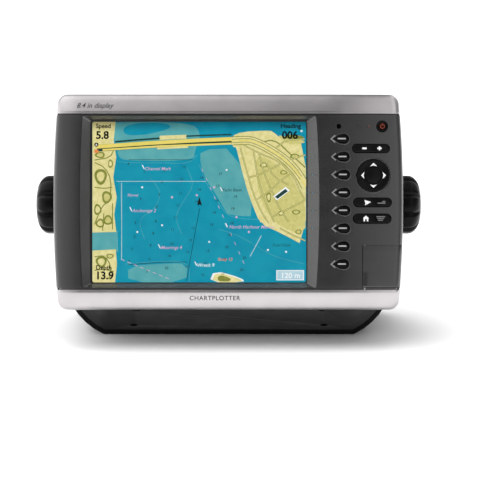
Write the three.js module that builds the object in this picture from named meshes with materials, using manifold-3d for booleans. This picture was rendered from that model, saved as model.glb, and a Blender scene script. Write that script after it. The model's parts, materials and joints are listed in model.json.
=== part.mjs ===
// A marine chartplotter: a sealed display head that tilts in a bail bracket between two clamp knobs.
// Millimetres, +Z up, the screen faces -Y. The origin is on the surface that the bracket's foot is
// screwed to, straight below the tilt axis. The head is drawn upright round its own face's centre and
// is then leant back as one group.
import * as THREE from "three";
import { mergeVertices } from "three/addons/utils/BufferGeometryUtils.js";
import Module from "manifold-3d";

const wasm = await Module();
wasm.setup();

// ---------- driving dimensions ----------

const GAP = 0.3; // between pieces that touch on the real object
const TILT_DEG = 13; // how far the head leans back in its rest position
const PIVOT_HEIGHT = 104.7; // tilt axis above the foot
const PIVOT_BELOW_CENTRE = 1; // tilt axis below the middle of the face

const FRONT = -62; // the face's foremost plane; the tilt axis is at y = 0
const BEZEL_BACK = -40;
const HALF_WIDTH = 141;
const HALF_HEIGHT = 86.8;
const CORNER = 7.5;
const SIDE_BOW = 4; // how much narrower the head is at its top and bottom
const FLAT_LEFT = 119; // beyond this the face curves back towards its left side
const FLAT_RIGHT = 78; // and beyond this towards its right side
const FLAT_Z = 66; // and beyond this towards its top and bottom
const EDGE_DEPTH = 10; // of the rounding where the face turns into the sides
const EDGE_WIDTH = 6;
const DROP_X = 4.5;
const DROP_Z = 3.5;
const SHELL = 4.2; // wall of the bezel
const TRIM = 2.2; // wall of the silver trims
const TRIM_TOP_FROM = 70.1; // the top trim covers the face above this height
const TRIM_BOTTOM_FROM = -69.3;
const TRIM_BACK = -46;

const SCREEN_X = -23.4; // middle of the screen
const SCREEN_HALF_X = 86;
const SCREEN_HALF_Z = 64.6;
const FRAME_SIDE = 7.8; // width of the sloped frame round the screen
const FRAME_END = 4.5;
const FRAME_BOW = 2.4;
const OPENING_Y = -54.3; // back of the sloped frame, where the glass sits

const PROUD = 1.3; // how far the keys stand out of the face
const KEY_FLANGE = [-54.2, -53.4];
const ROCKER_FLANGE = [-53.5, -52.7];
const MAT = [-51.6, -50.4];
const KEY_BOARD = [-50.1, -48.5];
const SOFT_KEYS = 8;
const SOFT_KEY_TOP = 50.4;
const SOFT_KEY_PITCH = 14.32;
const SOFT_KEY_X = 91.2;
const SOFT_KEY_BOW = 1;
const SOFT_KEY_HALF = [5.7, 3.2];
const POWER_KEY = { x: 123.3, z: 60.5, radius: 4.4 };
const SENSOR = { x: 88.5, z: 60.5, radius: 1.7 };
const PAD = { x: 116.2, z: 21.2, radius: 13.4 };
const ROCKERS = {
  range_rocker: { x: 114.3, z: 42.8, half: [14.6, 3.7] },
  mark_rocker: { x: 115.6, z: -0.4, half: [14.9, 3.8] },
  home_rocker: { x: 115.3, z: -13.4, half: [14.9, 4] },
};

const DOOR = { left: 107.6, top: -34.9, bottom: -68.2, back: -49.5, wall: 3 };
const DOOR_PIN = { x: 109.3, y: -59.4, radius: 0.65, sweep: 2.6 };
const BAY = { x: [107.3, 134], z: [-66.5, -37.5], floor: [-47, -45] };
const CARD = { x: [113.5, 115.6], y: [-49, -17], z: [-64, -40] };

const FLANGE = [-38.6, -35.6]; // the rear case's rim, which the screws pull against the bezel
const CASE_BACK = 23;
const CASE_WALL = 3;
const CASE_FRONT_HALF = [126, 73];
const CASE_BACK_HALF = [122, 69];
const FIN_TIP = 42;
const SCREW = { x: 128.5, z: 77.5, radius: 1.75, head: 3.1, boss: 5 };
const PORT_Z = -40;

const BOSS_FACE = 129.5; // the head's round cheeks, where the washers bear
const ARM = [132.5, 136.5]; // inner and outer face of a bracket arm
const STRAP = ARM[1] - ARM[0];
const BEND_RADIUS = 56; // of the strap's corners, to its outer face
const BEND_START_DEG = 25; // the strap leaves the foot with this kink
const FOOT_Y = [-27, 50]; // the foot's front and back edges, from the tilt axis
const ARM_RADIUS = 23;
const STUD_RADIUS = 4;
const KNOB_RADIUS = 24.25;
const KNOB_X = 138.6;
const KNOB_LENGTH = 20.9;
const KNOB_SHOULDER = [15, 10]; // across and along the axis

// ---------- finishes ----------

const FINISHES = {
  greyPlastic: { color: 0x41413f, roughness: 0.5, metalness: 0 },
  silverPaint: { color: 0xb0acad, roughness: 0.35, metalness: 0.6 },
  blackPlastic: { color: 0x0c0c0c, roughness: 0.35, metalness: 0 },
  blackPowder: { color: 0x101010, roughness: 0.5, metalness: 0.2 },
  keyRubber: { color: 0x0b0b0c, roughness: 0.45, metalness: 0 },
  blackRubber: { color: 0x161616, roughness: 0.8, metalness: 0 },
  clearGlass: { color: 0xe8eef0, roughness: 0.03, metalness: 0, transparent: true, opacity: 0.3 },
  screen: { color: 0x0890ac, roughness: 0.3, metalness: 0 },
  steel: { color: 0xb8b8ba, roughness: 0.3, metalness: 1 },
  brass: { color: 0xb58b45, roughness: 0.35, metalness: 1 },
  board: { color: 0x1f5a34, roughness: 0.6, metalness: 0 },
  ribbon: { color: 0xb9b2a0, roughness: 0.6, metalness: 0 },
};

// ---------- geometry helpers ----------

const toY = new THREE.Matrix4().makeBasis(
  new THREE.Vector3(1, 0, 0),
  new THREE.Vector3(0, 0, 1),
  new THREE.Vector3(0, -1, 0),
);
const toX = new THREE.Matrix4().makeBasis(
  new THREE.Vector3(0, 1, 0),
  new THREE.Vector3(0, 0, 1),
  new THREE.Vector3(1, 0, 0),
);

// A closed geometry as a solid that can be joined and cut.
function solid(geometry) {
  const bare = geometry.clone();
  bare.deleteAttribute("normal");
  bare.deleteAttribute("uv");
  const merged = mergeVertices(bare, 1e-4);
  const triVerts = new Uint32Array(merged.index.array);
  const vertProperties = merged.attributes.position.array;
  return new wasm.Manifold(new wasm.Mesh({ numProp: 3, vertProperties, triVerts }));
}

function geometryOf(shape) {
  const mesh = shape.getMesh();
  const geometry = new THREE.BufferGeometry();
  geometry.setAttribute("position", new THREE.BufferAttribute(mesh.vertProperties, 3));
  geometry.setIndex(new THREE.BufferAttribute(mesh.triVerts, 1));
  const faceted = geometry.toNonIndexed();
  faceted.computeVertexNormals();
  return faceted;
}

function box([x0, x1], [y0, y1], [z0, z1]) {
  const geometry = new THREE.BoxGeometry(x1 - x0, y1 - y0, z1 - z0);
  return solid(geometry.translate((x0 + x1) / 2, (y0 + y1) / 2, (z0 + z1) / 2));
}

// A round bar along one axis; a and b are its centre on the other two, in X, Y, Z order.
function bar(axis, radius, [from, to], [a, b] = [0, 0], sides = 24) {
  const geometry = new THREE.CylinderGeometry(radius, radius, to - from, sides);
  const middle = (from + to) / 2;
  if (axis === "x") geometry.rotateZ(Math.PI / 2).translate(middle, a, b);
  if (axis === "y") geometry.translate(a, middle, b);
  if (axis === "z") geometry.rotateX(Math.PI / 2).translate(a, b, middle);
  return solid(geometry);
}

// An outline of [x, z] points made solid between two values of y.
function slab(outline, [y0, y1]) {
  const shape = new THREE.Shape(outline.map(([x, z]) => new THREE.Vector2(x, z)));
  const geometry = new THREE.ExtrudeGeometry(shape, { depth: y1 - y0, bevelEnabled: false });
  return solid(geometry.applyMatrix4(toY).translate(0, y1, 0));
}

// An outline of [y, z] points made solid between two values of x.
function sideSlab(outline, [x0, x1]) {
  const shape = new THREE.Shape(outline.map(([y, z]) => new THREE.Vector2(y, z)));
  const geometry = new THREE.ExtrudeGeometry(shape, { depth: x1 - x0, bevelEnabled: false });
  return solid(geometry.applyMatrix4(toX).translate(x0, 0, 0));
}

// An outline of [x, y] points made solid between two values of z.
function planSlab(outline, [z0, z1]) {
  const shape = new THREE.Shape(outline.map(([x, y]) => new THREE.Vector2(x, y)));
  const geometry = new THREE.ExtrudeGeometry(shape, { depth: z1 - z0, bevelEnabled: false });
  return solid(geometry.translate(0, 0, z0));
}

// The solid between two outlines of equally many [x, z] points, one at each y.
function loft(near, yNear, far, yFar) {
  const count = near.length;
  const positions = [
    ...near.flatMap(([x, z]) => [x, yNear, z]),
    ...far.flatMap(([x, z]) => [x, yFar, z]),
  ];
  const contour = near.map(([x, z]) => new THREE.Vector2(x, z));
  const index = [];
  for (const [a, b, c] of THREE.ShapeUtils.triangulateShape(contour, [])) {
    index.push(a, b, c, count + c, count + b, count + a);
  }
  for (let i = 0; i < count; i += 1) {
    const next = (i + 1) % count;
    index.push(i, count + i, next, next, count + i, count + next);
  }
  const geometry = new THREE.BufferGeometry();
  geometry.setAttribute("position", new THREE.Float32BufferAttribute(positions, 3));
  geometry.setIndex(index);
  return solid(geometry);
}

function arc(cx, cz, radius, fromDeg, toDeg, steps) {
  return Array.from({ length: steps + 1 }, (_, i) => {
    const angle = THREE.MathUtils.degToRad(fromDeg + ((toDeg - fromDeg) * i) / steps);
    return [cx + radius * Math.cos(angle), cz + radius * Math.sin(angle)];
  });
}

function roundedRectangle(halfX, halfZ, radius, steps = 5) {
  return [
    ...arc(halfX - radius, -halfZ + radius, radius, -90, 0, steps),
    ...arc(halfX - radius, halfZ - radius, radius, 0, 90, steps),
    ...arc(-halfX + radius, halfZ - radius, radius, 90, 180, steps),
    ...arc(-halfX + radius, -halfZ + radius, radius, 180, 270, steps),
  ];
}

const shifted = (outline, dx, dz) => outline.map(([x, z]) => [x + dx, z + dz]);

const unite = (...shapes) => shapes.reduce((all, one) => all.add(one));

const cut = (shape, ...tools) => tools.reduce((left, tool) => left.subtract(tool), shape);

function span(from, to, steps) {
  return Array.from({ length: steps + 1 }, (_, i) => from + ((to - from) * i) / steps);
}

function piece(group, name, shape, finish) {
  const material = new THREE.MeshStandardMaterial(FINISHES[finish]);
  const mesh = new THREE.Mesh(geometryOf(shape), material);
  mesh.name = name;
  group.add(mesh);
  return mesh;
}

// ---------- the head's outer form ----------

// Its outline from the front: bowed sides and round corners.
function faceOutline(inset) {
  const radius = Math.max(CORNER - inset, 1.5);
  const top = HALF_HEIGHT - inset - radius;
  const side = (z) => HALF_WIDTH - inset - SIDE_BOW * (z / HALF_HEIGHT) ** 2;
  const bow = span(-top, top, 6).slice(1, -1);
  const cornerX = side(top) - radius;
  return [
    ...arc(cornerX, -top, radius, -90, 0, 4),
    ...bow.map((z) => [side(z), z]),
    ...arc(cornerX, top, radius, 0, 90, 4),
    ...arc(-cornerX, top, radius, 90, 180, 4),
    ...bow.map((z) => [-side(z), -z]),
    ...arc(-cornerX, -top, radius, 180, 270, 4),
  ];
}

// The face's y at a place across it, and at a height up it.
function faceAcross(x) {
  const flat = x > 0 ? FLAT_RIGHT : FLAT_LEFT;
  return FRONT + DROP_X * (Math.max(0, Math.abs(x) - flat) / (HALF_WIDTH - flat)) ** 2;
}

function faceUp(z) {
  return FRONT + DROP_Z * (Math.max(0, Math.abs(z) - FLAT_Z) / (HALF_HEIGHT - FLAT_Z)) ** 2;
}

// The whole form, taken in by inset all round and at the front.
function headForm(inset) {
  const LONG = 30;
  const BEYOND = 4;
  const edgeWidth = Math.max(EDGE_WIDTH - inset, 1.5);
  const edgeDepth = Math.max(EDGE_DEPTH - inset, 3);
  const outline = faceOutline(inset).map(([x, z]) => new THREE.Vector2(x, z));
  const edged = new THREE.ExtrudeGeometry(new THREE.Shape(outline), {
    depth: LONG,
    bevelThickness: edgeDepth,
    bevelSize: edgeWidth,
    bevelOffset: -edgeWidth,
    bevelSegments: 3,
  });
  edged.applyMatrix4(toY).translate(0, FRONT + inset + LONG + edgeDepth, 0);
  const wide = HALF_WIDTH + BEYOND;
  const high = HALF_HEIGHT + BEYOND;
  const left = span(-wide, -FLAT_LEFT, 3).map((x) => [x, faceAcross(x) + inset]);
  const right = span(FLAT_RIGHT, wide, 6).map((x) => [x, faceAcross(x) + inset]);
  const plan = [...left, ...right, [wide, BEZEL_BACK], [-wide, BEZEL_BACK]];
  const upper = span(high, FLAT_Z, 4).map((z) => [faceUp(z) + inset, z]);
  const lower = span(-FLAT_Z, -high, 4).map((z) => [faceUp(z) + inset, z]);
  const profile = [...upper, ...lower, [BEZEL_BACK, -high], [BEZEL_BACK, high]];
  return solid(edged)
    .intersect(planSlab(plan, [-high, high]))
    .intersect(sideSlab(profile, [-wide, wide]));
}

// ---------- front: bezel, trims, window ----------

// The sloped frame's outline: share 0 is the screen's opening, share 1 is where it meets the face.
function frameOutline(share, grow = 0) {
  const halfZ = SCREEN_HALF_Z + FRAME_END * share + grow;
  const side = (s) => SCREEN_HALF_X + grow + share * (FRAME_SIDE + FRAME_BOW * (1 - s * s));
  const steps = span(-1, 1, 4);
  return [
    ...steps.map((s) => [SCREEN_X + side(s), s * halfZ]),
    ...steps.map((s) => [SCREEN_X - side(s), -s * halfZ]),
  ];
}

const frameY = (share) => OPENING_Y + share * (FRONT - OPENING_Y);

function softKeyOutline(grow) {
  const [halfX, halfZ] = SOFT_KEY_HALF;
  const radius = halfZ + grow;
  return [
    ...arc(halfX - halfZ, 0, radius, -90, 90, 6),
    [-1.6, radius * 0.86],
    [-4, radius * 0.48],
    [-halfX - grow, 0],
    [-4, -radius * 0.48],
    [-1.6, -radius * 0.86],
  ];
}

const rockerOutline = ({ half }, grow) =>
  roundedRectangle(half[0] + grow, half[1] + grow, half[1] + grow - 0.2, 4);

function softKeyPlace(index) {
  const z = SOFT_KEY_TOP - SOFT_KEY_PITCH * index;
  const middle = SOFT_KEY_TOP - (SOFT_KEY_PITCH * (SOFT_KEYS - 1)) / 2;
  return { x: SOFT_KEY_X - SOFT_KEY_BOW * ((z - middle) / (SOFT_KEY_TOP - middle)) ** 2, z };
}

const softKeyPlaces = Array.from({ length: SOFT_KEYS }, (_, i) => softKeyPlace(i));

const screwPlaces = [
  [SCREW.x, SCREW.z],
  [-SCREW.x, SCREW.z],
  [-SCREW.x, -SCREW.z],
  [SCREW.x, -SCREW.z],
];

const ALL_X = [-160, 160];
const THROUGH = [-70, -44]; // from before the face to behind its wall
const CLOSE = GAP + 0.1; // clearance round a straight-moving key
const ROCKING = 0.75; // clearance round a rocking key
const GIMBALLED = 0.9; // clearance round the four-way pad

const trimZones = (grow) => [
  box(ALL_X, [-70, TRIM_BACK + grow], [TRIM_TOP_FROM - grow, 100]),
  box(ALL_X, [-70, TRIM_BACK + grow], [-100, TRIM_BOTTOM_FROM + grow]),
];

// The part of the form's skin that the card door fills, grown by a clearance.
function doorSkin(clearance) {
  const zone = box(
    [DOOR.left - clearance, HALF_WIDTH + 5],
    [-70, DOOR.back + clearance],
    [DOOR.bottom - clearance, DOOR.top + clearance],
  );
  return cut(zone, headForm(DOOR.wall + clearance));
}

function keyHoles() {
  const hole = (outline, place) => slab(shifted(outline, place.x, place.z), THROUGH);
  return [
    ...softKeyPlaces.map((place) => hole(softKeyOutline(CLOSE), place)),
    ...Object.values(ROCKERS).map((key) => hole(rockerOutline(key, ROCKING), key)),
    bar("y", PAD.radius + GIMBALLED, THROUGH, [PAD.x, PAD.z], 36),
    bar("y", POWER_KEY.radius + CLOSE, THROUGH, [POWER_KEY.x, POWER_KEY.z]),
    bar("y", SENSOR.radius + GAP, THROUGH, [SENSOR.x, SENSOR.z], 16),
  ];
}

// The bay behind the door, its slot for the card and the room that the door's hinge needs.
function bayCuts() {
  const [z0, z1] = [DOOR.bottom - GAP, DOOR.top + GAP];
  return [
    doorSkin(GAP),
    box(BAY.x, [-70, BAY.floor[0]], BAY.z),
    box(
      [CARD.x[0] - GAP, CARD.x[1] + GAP],
      [BAY.floor[0] - 1, BAY.floor[1] + 1],
      [CARD.z[0] - GAP, CARD.z[1] + GAP],
    ),
    bar("z", DOOR_PIN.sweep, [z0, z1], [DOOR_PIN.x, DOOR_PIN.y], 24),
    bar("z", DOOR_PIN.radius + GAP, [z0 - 2.2, z1 + 3.2], [DOOR_PIN.x, DOOR_PIN.y], 12),
  ];
}

function frontBezel() {
  const bayBlock = box([102.5, 150], [-70, BAY.floor[1]], [-71, -33]);
  const rearPocket = box([-134, 134], [BAY.floor[1], BEZEL_BACK + 1], [-81, 81]);
  const underTrims = headForm(TRIM + GAP);
  const zones = unite(...trimZones(GAP));
  const skin = unite(cut(headForm(0), zones), underTrims.intersect(zones));
  const shell = cut(skin, cut(headForm(SHELL), bayBlock), rearPocket);
  const frame = loft(frameOutline(0.55, 2), frameY(0.55), frameOutline(0, 2), OPENING_Y);
  const bosses = screwPlaces.map((place) => bar("y", SCREW.boss, [-56, BEZEL_BACK], place, 16));
  const window = loft(frameOutline(1.3), frameY(1.3), frameOutline(-0.15), frameY(-0.15));
  const screwHoles = screwPlaces.map((place) => bar("y", SCREW.radius + GAP, [-53, -39], place, 12));
  return cut(unite(shell, frame, ...bosses), window, ...keyHoles(), ...bayCuts(), ...screwHoles);
}

function trims() {
  const skin = cut(headForm(0), headForm(TRIM));
  const [top, bottom] = trimZones(0);
  const pinHole = bar("z", DOOR_PIN.radius + GAP, [DOOR.bottom - 2.5, -50], [DOOR_PIN.x, DOOR_PIN.y], 12);
  return { top_trim: skin.intersect(top), bottom_trim: cut(skin.intersect(bottom), pinHole) };
}

// A flat ring or plate behind the window, centred on the screen.
function screenPlate(halfX, halfZ, depth, radius = 3) {
  return slab(shifted(roundedRectangle(halfX, halfZ, radius), SCREEN_X, 0), depth);
}

const LENS = [-53.1, -51.1];
const PANEL = [-50.8, -43.4];
const PANEL_HALF = [96, 72];

function windowPieces() {
  const lens = screenPlate(90, 68.4, LENS);
  const gasketDepth = [OPENING_Y + GAP, LENS[0] - GAP];
  const gasketHole = screenPlate(87, 65.6, [-60, -50], 1.5);
  const gasket = cut(screenPlate(90, 68.4, gasketDepth), gasketHole);
  const panel = screenPlate(...PANEL_HALF, PANEL, 2);
  const frameHole = screenPlate(PANEL_HALF[0] + GAP, PANEL_HALF[1] + GAP, [-60, -40], 2);
  const frame = cut(screenPlate(98.5, 74.5, [PANEL[0], PANEL[1] + 1.4], 3), frameHole);
  return { lens, gasket, panel, frame };
}

// ---------- keys ----------

const keyFronts = headForm(-PROUD);

// A key that fills an outline, stands out of the face and is held in by a flange behind it.
function key(outline, flangeOutline, [flangeFront, flangeBack]) {
  const cap = slab(outline, [-70, flangeBack]).intersect(keyFronts);
  return unite(cap, slab(flangeOutline, [flangeFront, flangeBack]));
}

function softKey({ x, z }) {
  return key(shifted(softKeyOutline(0), x, z), shifted(softKeyOutline(1.3), x, z), KEY_FLANGE);
}

function rocker({ x, z, half }) {
  const cap = shifted(rockerOutline({ half }, 0), x, z);
  return key(cap, shifted(rockerOutline({ half }, 1.5), x, z), ROCKER_FLANGE);
}

function circle(radius, sides) {
  return arc(0, 0, radius, 0, 360 - 360 / sides, sides - 1);
}

function powerKey() {
  const { x, z, radius } = POWER_KEY;
  return key(shifted(circle(radius, 20), x, z), shifted(circle(radius + 1.2, 16), x, z), ROCKER_FLANGE);
}

const PAD_BACK = -56.5;
const RING = [-53.9, -53.1];
const RING_BORE = 4.6;

function rockerPad() {
  const place = [PAD.x, PAD.z];
  const disc = bar("y", PAD.radius, [-70, PAD_BACK], place, 36).intersect(keyFronts);
  return unite(disc, bar("y", RING_BORE - 0.6, [PAD_BACK, RING[1]], place, 16));
}

function rockerCarrier() {
  const place = [PAD.x, PAD.z];
  return cut(bar("y", PAD.radius + 1.8, RING, place, 28), bar("y", RING_BORE, [-60, -50], place, 16));
}

function sensorWindow() {
  const place = [SENSOR.x, SENSOR.z];
  return unite(
    bar("y", SENSOR.radius, [FRONT + 0.3, -56], place, 16),
    bar("y", SENSOR.radius + 1, [-57.2, -56], place, 16),
  );
}

// The key mat and its board keep left of the card bay.
function keyPlate(shrink, depth) {
  const [x0, x1] = [81 + shrink, 131 - shrink];
  const [low, step, high] = [-57 + shrink, -29 + shrink, 67 - shrink];
  const notch = 101.5 - shrink;
  return slab([[x0, low], [notch, low], [notch, step], [x1, step], [x1, high], [x0, high]], depth);
}

// ---------- card door, socket and card ----------

function cardDoor() {
  const skin = doorSkin(0).intersect(headForm(0));
  const length = [DOOR.bottom, DOOR.top];
  const place = [DOOR_PIN.x, DOOR_PIN.y];
  const knuckle = bar("z", 1.9, length, place, 16).intersect(headForm(0));
  const bore = bar("z", DOOR_PIN.radius + GAP, [-80, -20], place, 12);
  return cut(unite(skin, knuckle), bore);
}

function cardDoorPin() {
  return bar("z", DOOR_PIN.radius, [DOOR.bottom - 2.2, DOOR.top + 3.2], [DOOR_PIN.x, DOOR_PIN.y], 12);
}

// A cord of rubber lying just inside the bay's mouth, against its walls.
function cardDoorSeal() {
  const depth = [-52.4, -51];
  const [x0, x1] = [BAY.x[0] + GAP, BAY.x[1] - GAP];
  const [z0, z1] = [BAY.z[0] + GAP, BAY.z[1] - GAP];
  const wide = 1.4;
  return cut(
    box([x0, x1], depth, [z0, z1]),
    box([x0 + wide, x1 - wide], [-60, -40], [z0 + wide, z1 - wide]),
  );
}

function cardSocket() {
  const body = box([CARD.x[0] - 2, CARD.x[1] + 2], [BAY.floor[1] + GAP, CARD.y[1] + 3], [-66, -38]);
  const slot = box(
    [CARD.x[0] - GAP, CARD.x[1] + GAP],
    [-60, CARD.y[1] + GAP],
    [CARD.z[0] - GAP, CARD.z[1] + GAP],
  );
  return cut(body, slot);
}

// The card's lower leading corner is cut off, as on any memory card.
function memoryCard() {
  const [y0, y1] = CARD.y;
  const [z0, z1] = CARD.z;
  return sideSlab([[y0, z0], [y1 - 4, z0], [y1, z0 + 4], [y1, z1], [y0, z1]], CARD.x);
}

// ---------- inside the head ----------

const CHASSIS = [-41.5, -40];
const MAIN_BOARD = [-33, -31.4];
const POWER_BOARD = [-20, -18.4];
const RIBBON_X = [-40, -10];
const STANDOFFS = [[100, 55], [-100, 55], [-100, -55], [98, -50]];

function displayChassis() {
  const plate = slab(roundedRectangle(122, 68, 4, 3), CHASSIS);
  const posts = STANDOFFS.map((place) => bar("y", 3, [CHASSIS[0] + 0.5, MAIN_BOARD[0] - GAP], place, 12));
  const cardNotch = box([102.5, 130], [-50, -30], [-75, -31]);
  const ribbonSlot = box([RIBBON_X[0] - 2, RIBBON_X[1] + 2], [-50, -38], [-75, -63.5]);
  return cut(unite(plate, ...posts), cardNotch, ribbonSlot);
}

function processorShield() {
  return box([-30, 30], [MAIN_BOARD[1] + GAP, MAIN_BOARD[1] + 6], [-8, 42]);
}

function powerBoard() {
  const board = box([-100, -24], POWER_BOARD, [-62, -14]);
  const coil = bar("y", 8, [POWER_BOARD[0] - 7, POWER_BOARD[0]], [-80, -34], 20);
  const capacitor = bar("y", 5, [POWER_BOARD[0] - 8, POWER_BOARD[0]], [-50, -34], 20);
  return unite(board, coil, capacitor);
}

// The flat cable goes down behind the screen, back through a slot in the chassis, and up behind
// the main board.
function lcdRibbon() {
  const thick = 0.5;
  const [front, back] = [PANEL[1] + GAP, MAIN_BOARD[1] + 1.2];
  const [low, frontTop, backTop] = [-66.2, -60, -56];
  const under = [[front, frontTop], [front, low], [back, low], [back, backTop]];
  const over = [
    [back - thick, backTop],
    [back - thick, low + thick],
    [front + thick, low + thick],
    [front + thick, frontTop],
  ];
  return sideSlab([...under, ...over], RIBBON_X);
}

function alarmBuzzer() {
  return bar("y", 9, [MAIN_BOARD[1] + GAP, -22], [70, 35], 24);
}

// ---------- rear case ----------

function caseHalf(share) {
  return CASE_FRONT_HALF.map((half, i) => half + share * (CASE_BACK_HALF[i] - half));
}

function caseOutline(share, inset) {
  const [halfX, halfZ] = caseHalf(share);
  return roundedRectangle(halfX - inset, halfZ - inset, 9 - inset / 2, 4);
}

const PORTS = {
  power_socket: { x: -84, radius: 11 },
  network_socket_1: { x: -48, radius: 9 },
  network_socket_2: { x: -18, radius: 9 },
  transducer_socket: { x: 18, radius: 11 },
  antenna_socket: { x: 54, radius: 5 },
};
const VENT = { x: 88, radius: 7, stem: 3 };
const PORT_FLANGE = [CASE_BACK + GAP, CASE_BACK + 3];
const PORT_END = 37;
const FINS = 21;
const FIN_PITCH = 10;
const FIN_THICK = 2.6;
const FIN_Z = [-14, 60];
const CHEEK = 20;
const INSERT = { radius: 7, x: [113, 129.2] };

// An aluminium plate with upright fins, fixed to the case's back above the sockets.
function heatSink() {
  const plate = [CASE_BACK + GAP, CASE_BACK + 2.5];
  const halfX = ((FINS - 1) / 2) * FIN_PITCH + FIN_THICK / 2;
  const fins = Array.from({ length: FINS }, (_, i) => {
    const x = (i - (FINS - 1) / 2) * FIN_PITCH;
    return box([x - FIN_THICK / 2, x + FIN_THICK / 2], [plate[0], FIN_TIP], FIN_Z);
  });
  return unite(box([-halfX, halfX], plate, FIN_Z), ...fins);
}

const toSide = (side, a, b) => (side > 0 ? [a, b] : [-b, -a]);

// A round cheek on the tilt axis, and the blind hole for its threaded insert.
function cheek(side) {
  const axis = [0, -PIVOT_BELOW_CENTRE];
  return {
    solids: [
      bar("x", CHEEK, toSide(side, 119.5, BOSS_FACE), axis, 28),
      bar("x", INSERT.radius + 4, toSide(side, INSERT.x[0] - 4, 121), axis, 16),
    ],
    hole: bar("x", INSERT.radius + GAP, toSide(side, INSERT.x[0] - GAP, BOSS_FACE + 1), axis, 20),
  };
}

function rearCase() {
  const flange = slab(faceOutline(1.5), FLANGE);
  const body = loft(caseOutline(0, 0), FLANGE[0], caseOutline(1, 0), CASE_BACK);
  const inside = (share) => caseOutline(share, CASE_WALL);
  const hollow = loft(inside(0), FLANGE[0] - 1, inside(1), CASE_BACK - CASE_WALL);
  const cheeks = [cheek(1), cheek(-1)];
  const portHoles = Object.values(PORTS).map(({ x, radius }) =>
    bar("y", radius + GAP, [CASE_BACK - 10, CASE_BACK + 5], [x, PORT_Z], 20),
  );
  return cut(
    unite(cut(unite(flange, body), hollow), ...cheeks.flatMap(({ solids }) => solids)),
    ...cheeks.map(({ hole }) => hole),
    ...portHoles,
    bar("y", VENT.stem + GAP, [CASE_BACK - 10, CASE_BACK + 5], [VENT.x, PORT_Z], 16),
    ...screwPlaces.map((place) => bar("y", SCREW.radius + GAP, [-45, -30], place, 12)),
  );
}

function caseGasket() {
  const depth = [BEZEL_BACK + GAP, FLANGE[0] - GAP];
  return cut(slab(faceOutline(1.8), depth), slab(faceOutline(3.9), [-50, -30]));
}

function housingScrew(place) {
  const head = bar("y", SCREW.head, [FLANGE[1] + GAP, FLANGE[1] + 2.5], place, 16);
  return unite(head, bar("y", SCREW.radius, [-52, FLANGE[1] + 1], place, 12));
}

// A round bulkhead connector: body through the wall, flange outside it, bore for the plug.
function portSocket({ x, radius }) {
  const place = [x, PORT_Z];
  const isCoaxial = radius < 6;
  const bore = isCoaxial ? 1.6 : radius - 2.2;
  return cut(
    unite(
      bar("y", radius, [CASE_BACK - 9, PORT_END], place, 20),
      bar("y", radius + 2.6, PORT_FLANGE, place, 20),
    ),
    bar("y", bore, [PORT_END - 9, PORT_END + 1], place, 16),
  );
}

function pressureVent() {
  const place = [VENT.x, PORT_Z];
  return unite(
    bar("y", VENT.radius, PORT_FLANGE, place, 24),
    bar("y", VENT.stem, [CASE_BACK - 7, PORT_FLANGE[1] - 0.5], place, 16),
  );
}

// ---------- bracket and knobs, measured from the tilt axis ----------

const footUnder = -PIVOT_HEIGHT;
const footMiddle = (FOOT_Y[0] + FOOT_Y[1]) / 2;
const kink = THREE.MathUtils.degToRad(BEND_START_DEG);
const bendCentre = [ARM[1] - BEND_RADIUS, footUnder + BEND_RADIUS * Math.cos(kink)];

// One face of the strap seen from the front, from the right arm's top to the left arm's top.
function strapLine(inset) {
  const radius = BEND_RADIUS - inset;
  const lowest = Math.asin((bendCentre[1] - footUnder - inset) / radius);
  const bend = arc(...bendCentre, radius, 0, -THREE.MathUtils.radToDeg(lowest), 7);
  const half = [[bendCentre[0] + radius, ARM_RADIUS + 1], ...bend];
  return [...half, ...half.map(([x, z]) => [-x, z]).reverse()];
}

function mountBracket() {
  const strap = slab([...strapLine(0), ...strapLine(STRAP).reverse()], [-80, 80]);
  const side = [
    [FOOT_Y[0], footUnder],
    [FOOT_Y[1], footUnder],
    [FOOT_Y[1], footUnder + 16],
    [ARM_RADIUS + 1, footUnder + 60],
    ...arc(0, 0, ARM_RADIUS, 0, 180, 12),
    [FOOT_Y[0] + 1, footUnder + 30],
  ];
  const holes = [-1, 1].flatMap((sx) => [-1, 1].map((sy) => [sx * 80, footMiddle + sy * 24]));
  return cut(
    strap.intersect(sideSlab(side, ALL_X)),
    bar("x", STUD_RADIUS + 0.6, ALL_X, [0, 0], 16),
    ...holes.map((place) => bar("z", 3.3, [footUnder - 1, footUnder + STRAP + 1], place, 12)),
  );
}

// Everything on one clamp screw, drawn on the right and mirrored for the left.
function clamp(side) {
  const ring = (outer, inner, a, b, sides) =>
    cut(
      bar("x", outer, toSide(side, a, b), [0, 0], sides),
      bar("x", inner, toSide(side, a - 5, b + 5), [0, 0], 16),
    );
  const studEnd = KNOB_X + 14;
  return {
    knob: knob(side, studEnd),
    knob_stud: bar("x", STUD_RADIUS, toSide(side, INSERT.x[0] + 2, studEnd), [0, 0], 16),
    thrust_washer: ring(11, STUD_RADIUS + GAP, ARM[1] + GAP, KNOB_X - GAP, 24),
    friction_washer: ring(18.5, 6, BOSS_FACE + GAP, ARM[0] - GAP, 28),
    threaded_insert: ring(INSERT.radius, STUD_RADIUS + GAP, ...INSERT.x, 20),
  };
}

const KNOB_GRIPS = 9;

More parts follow.
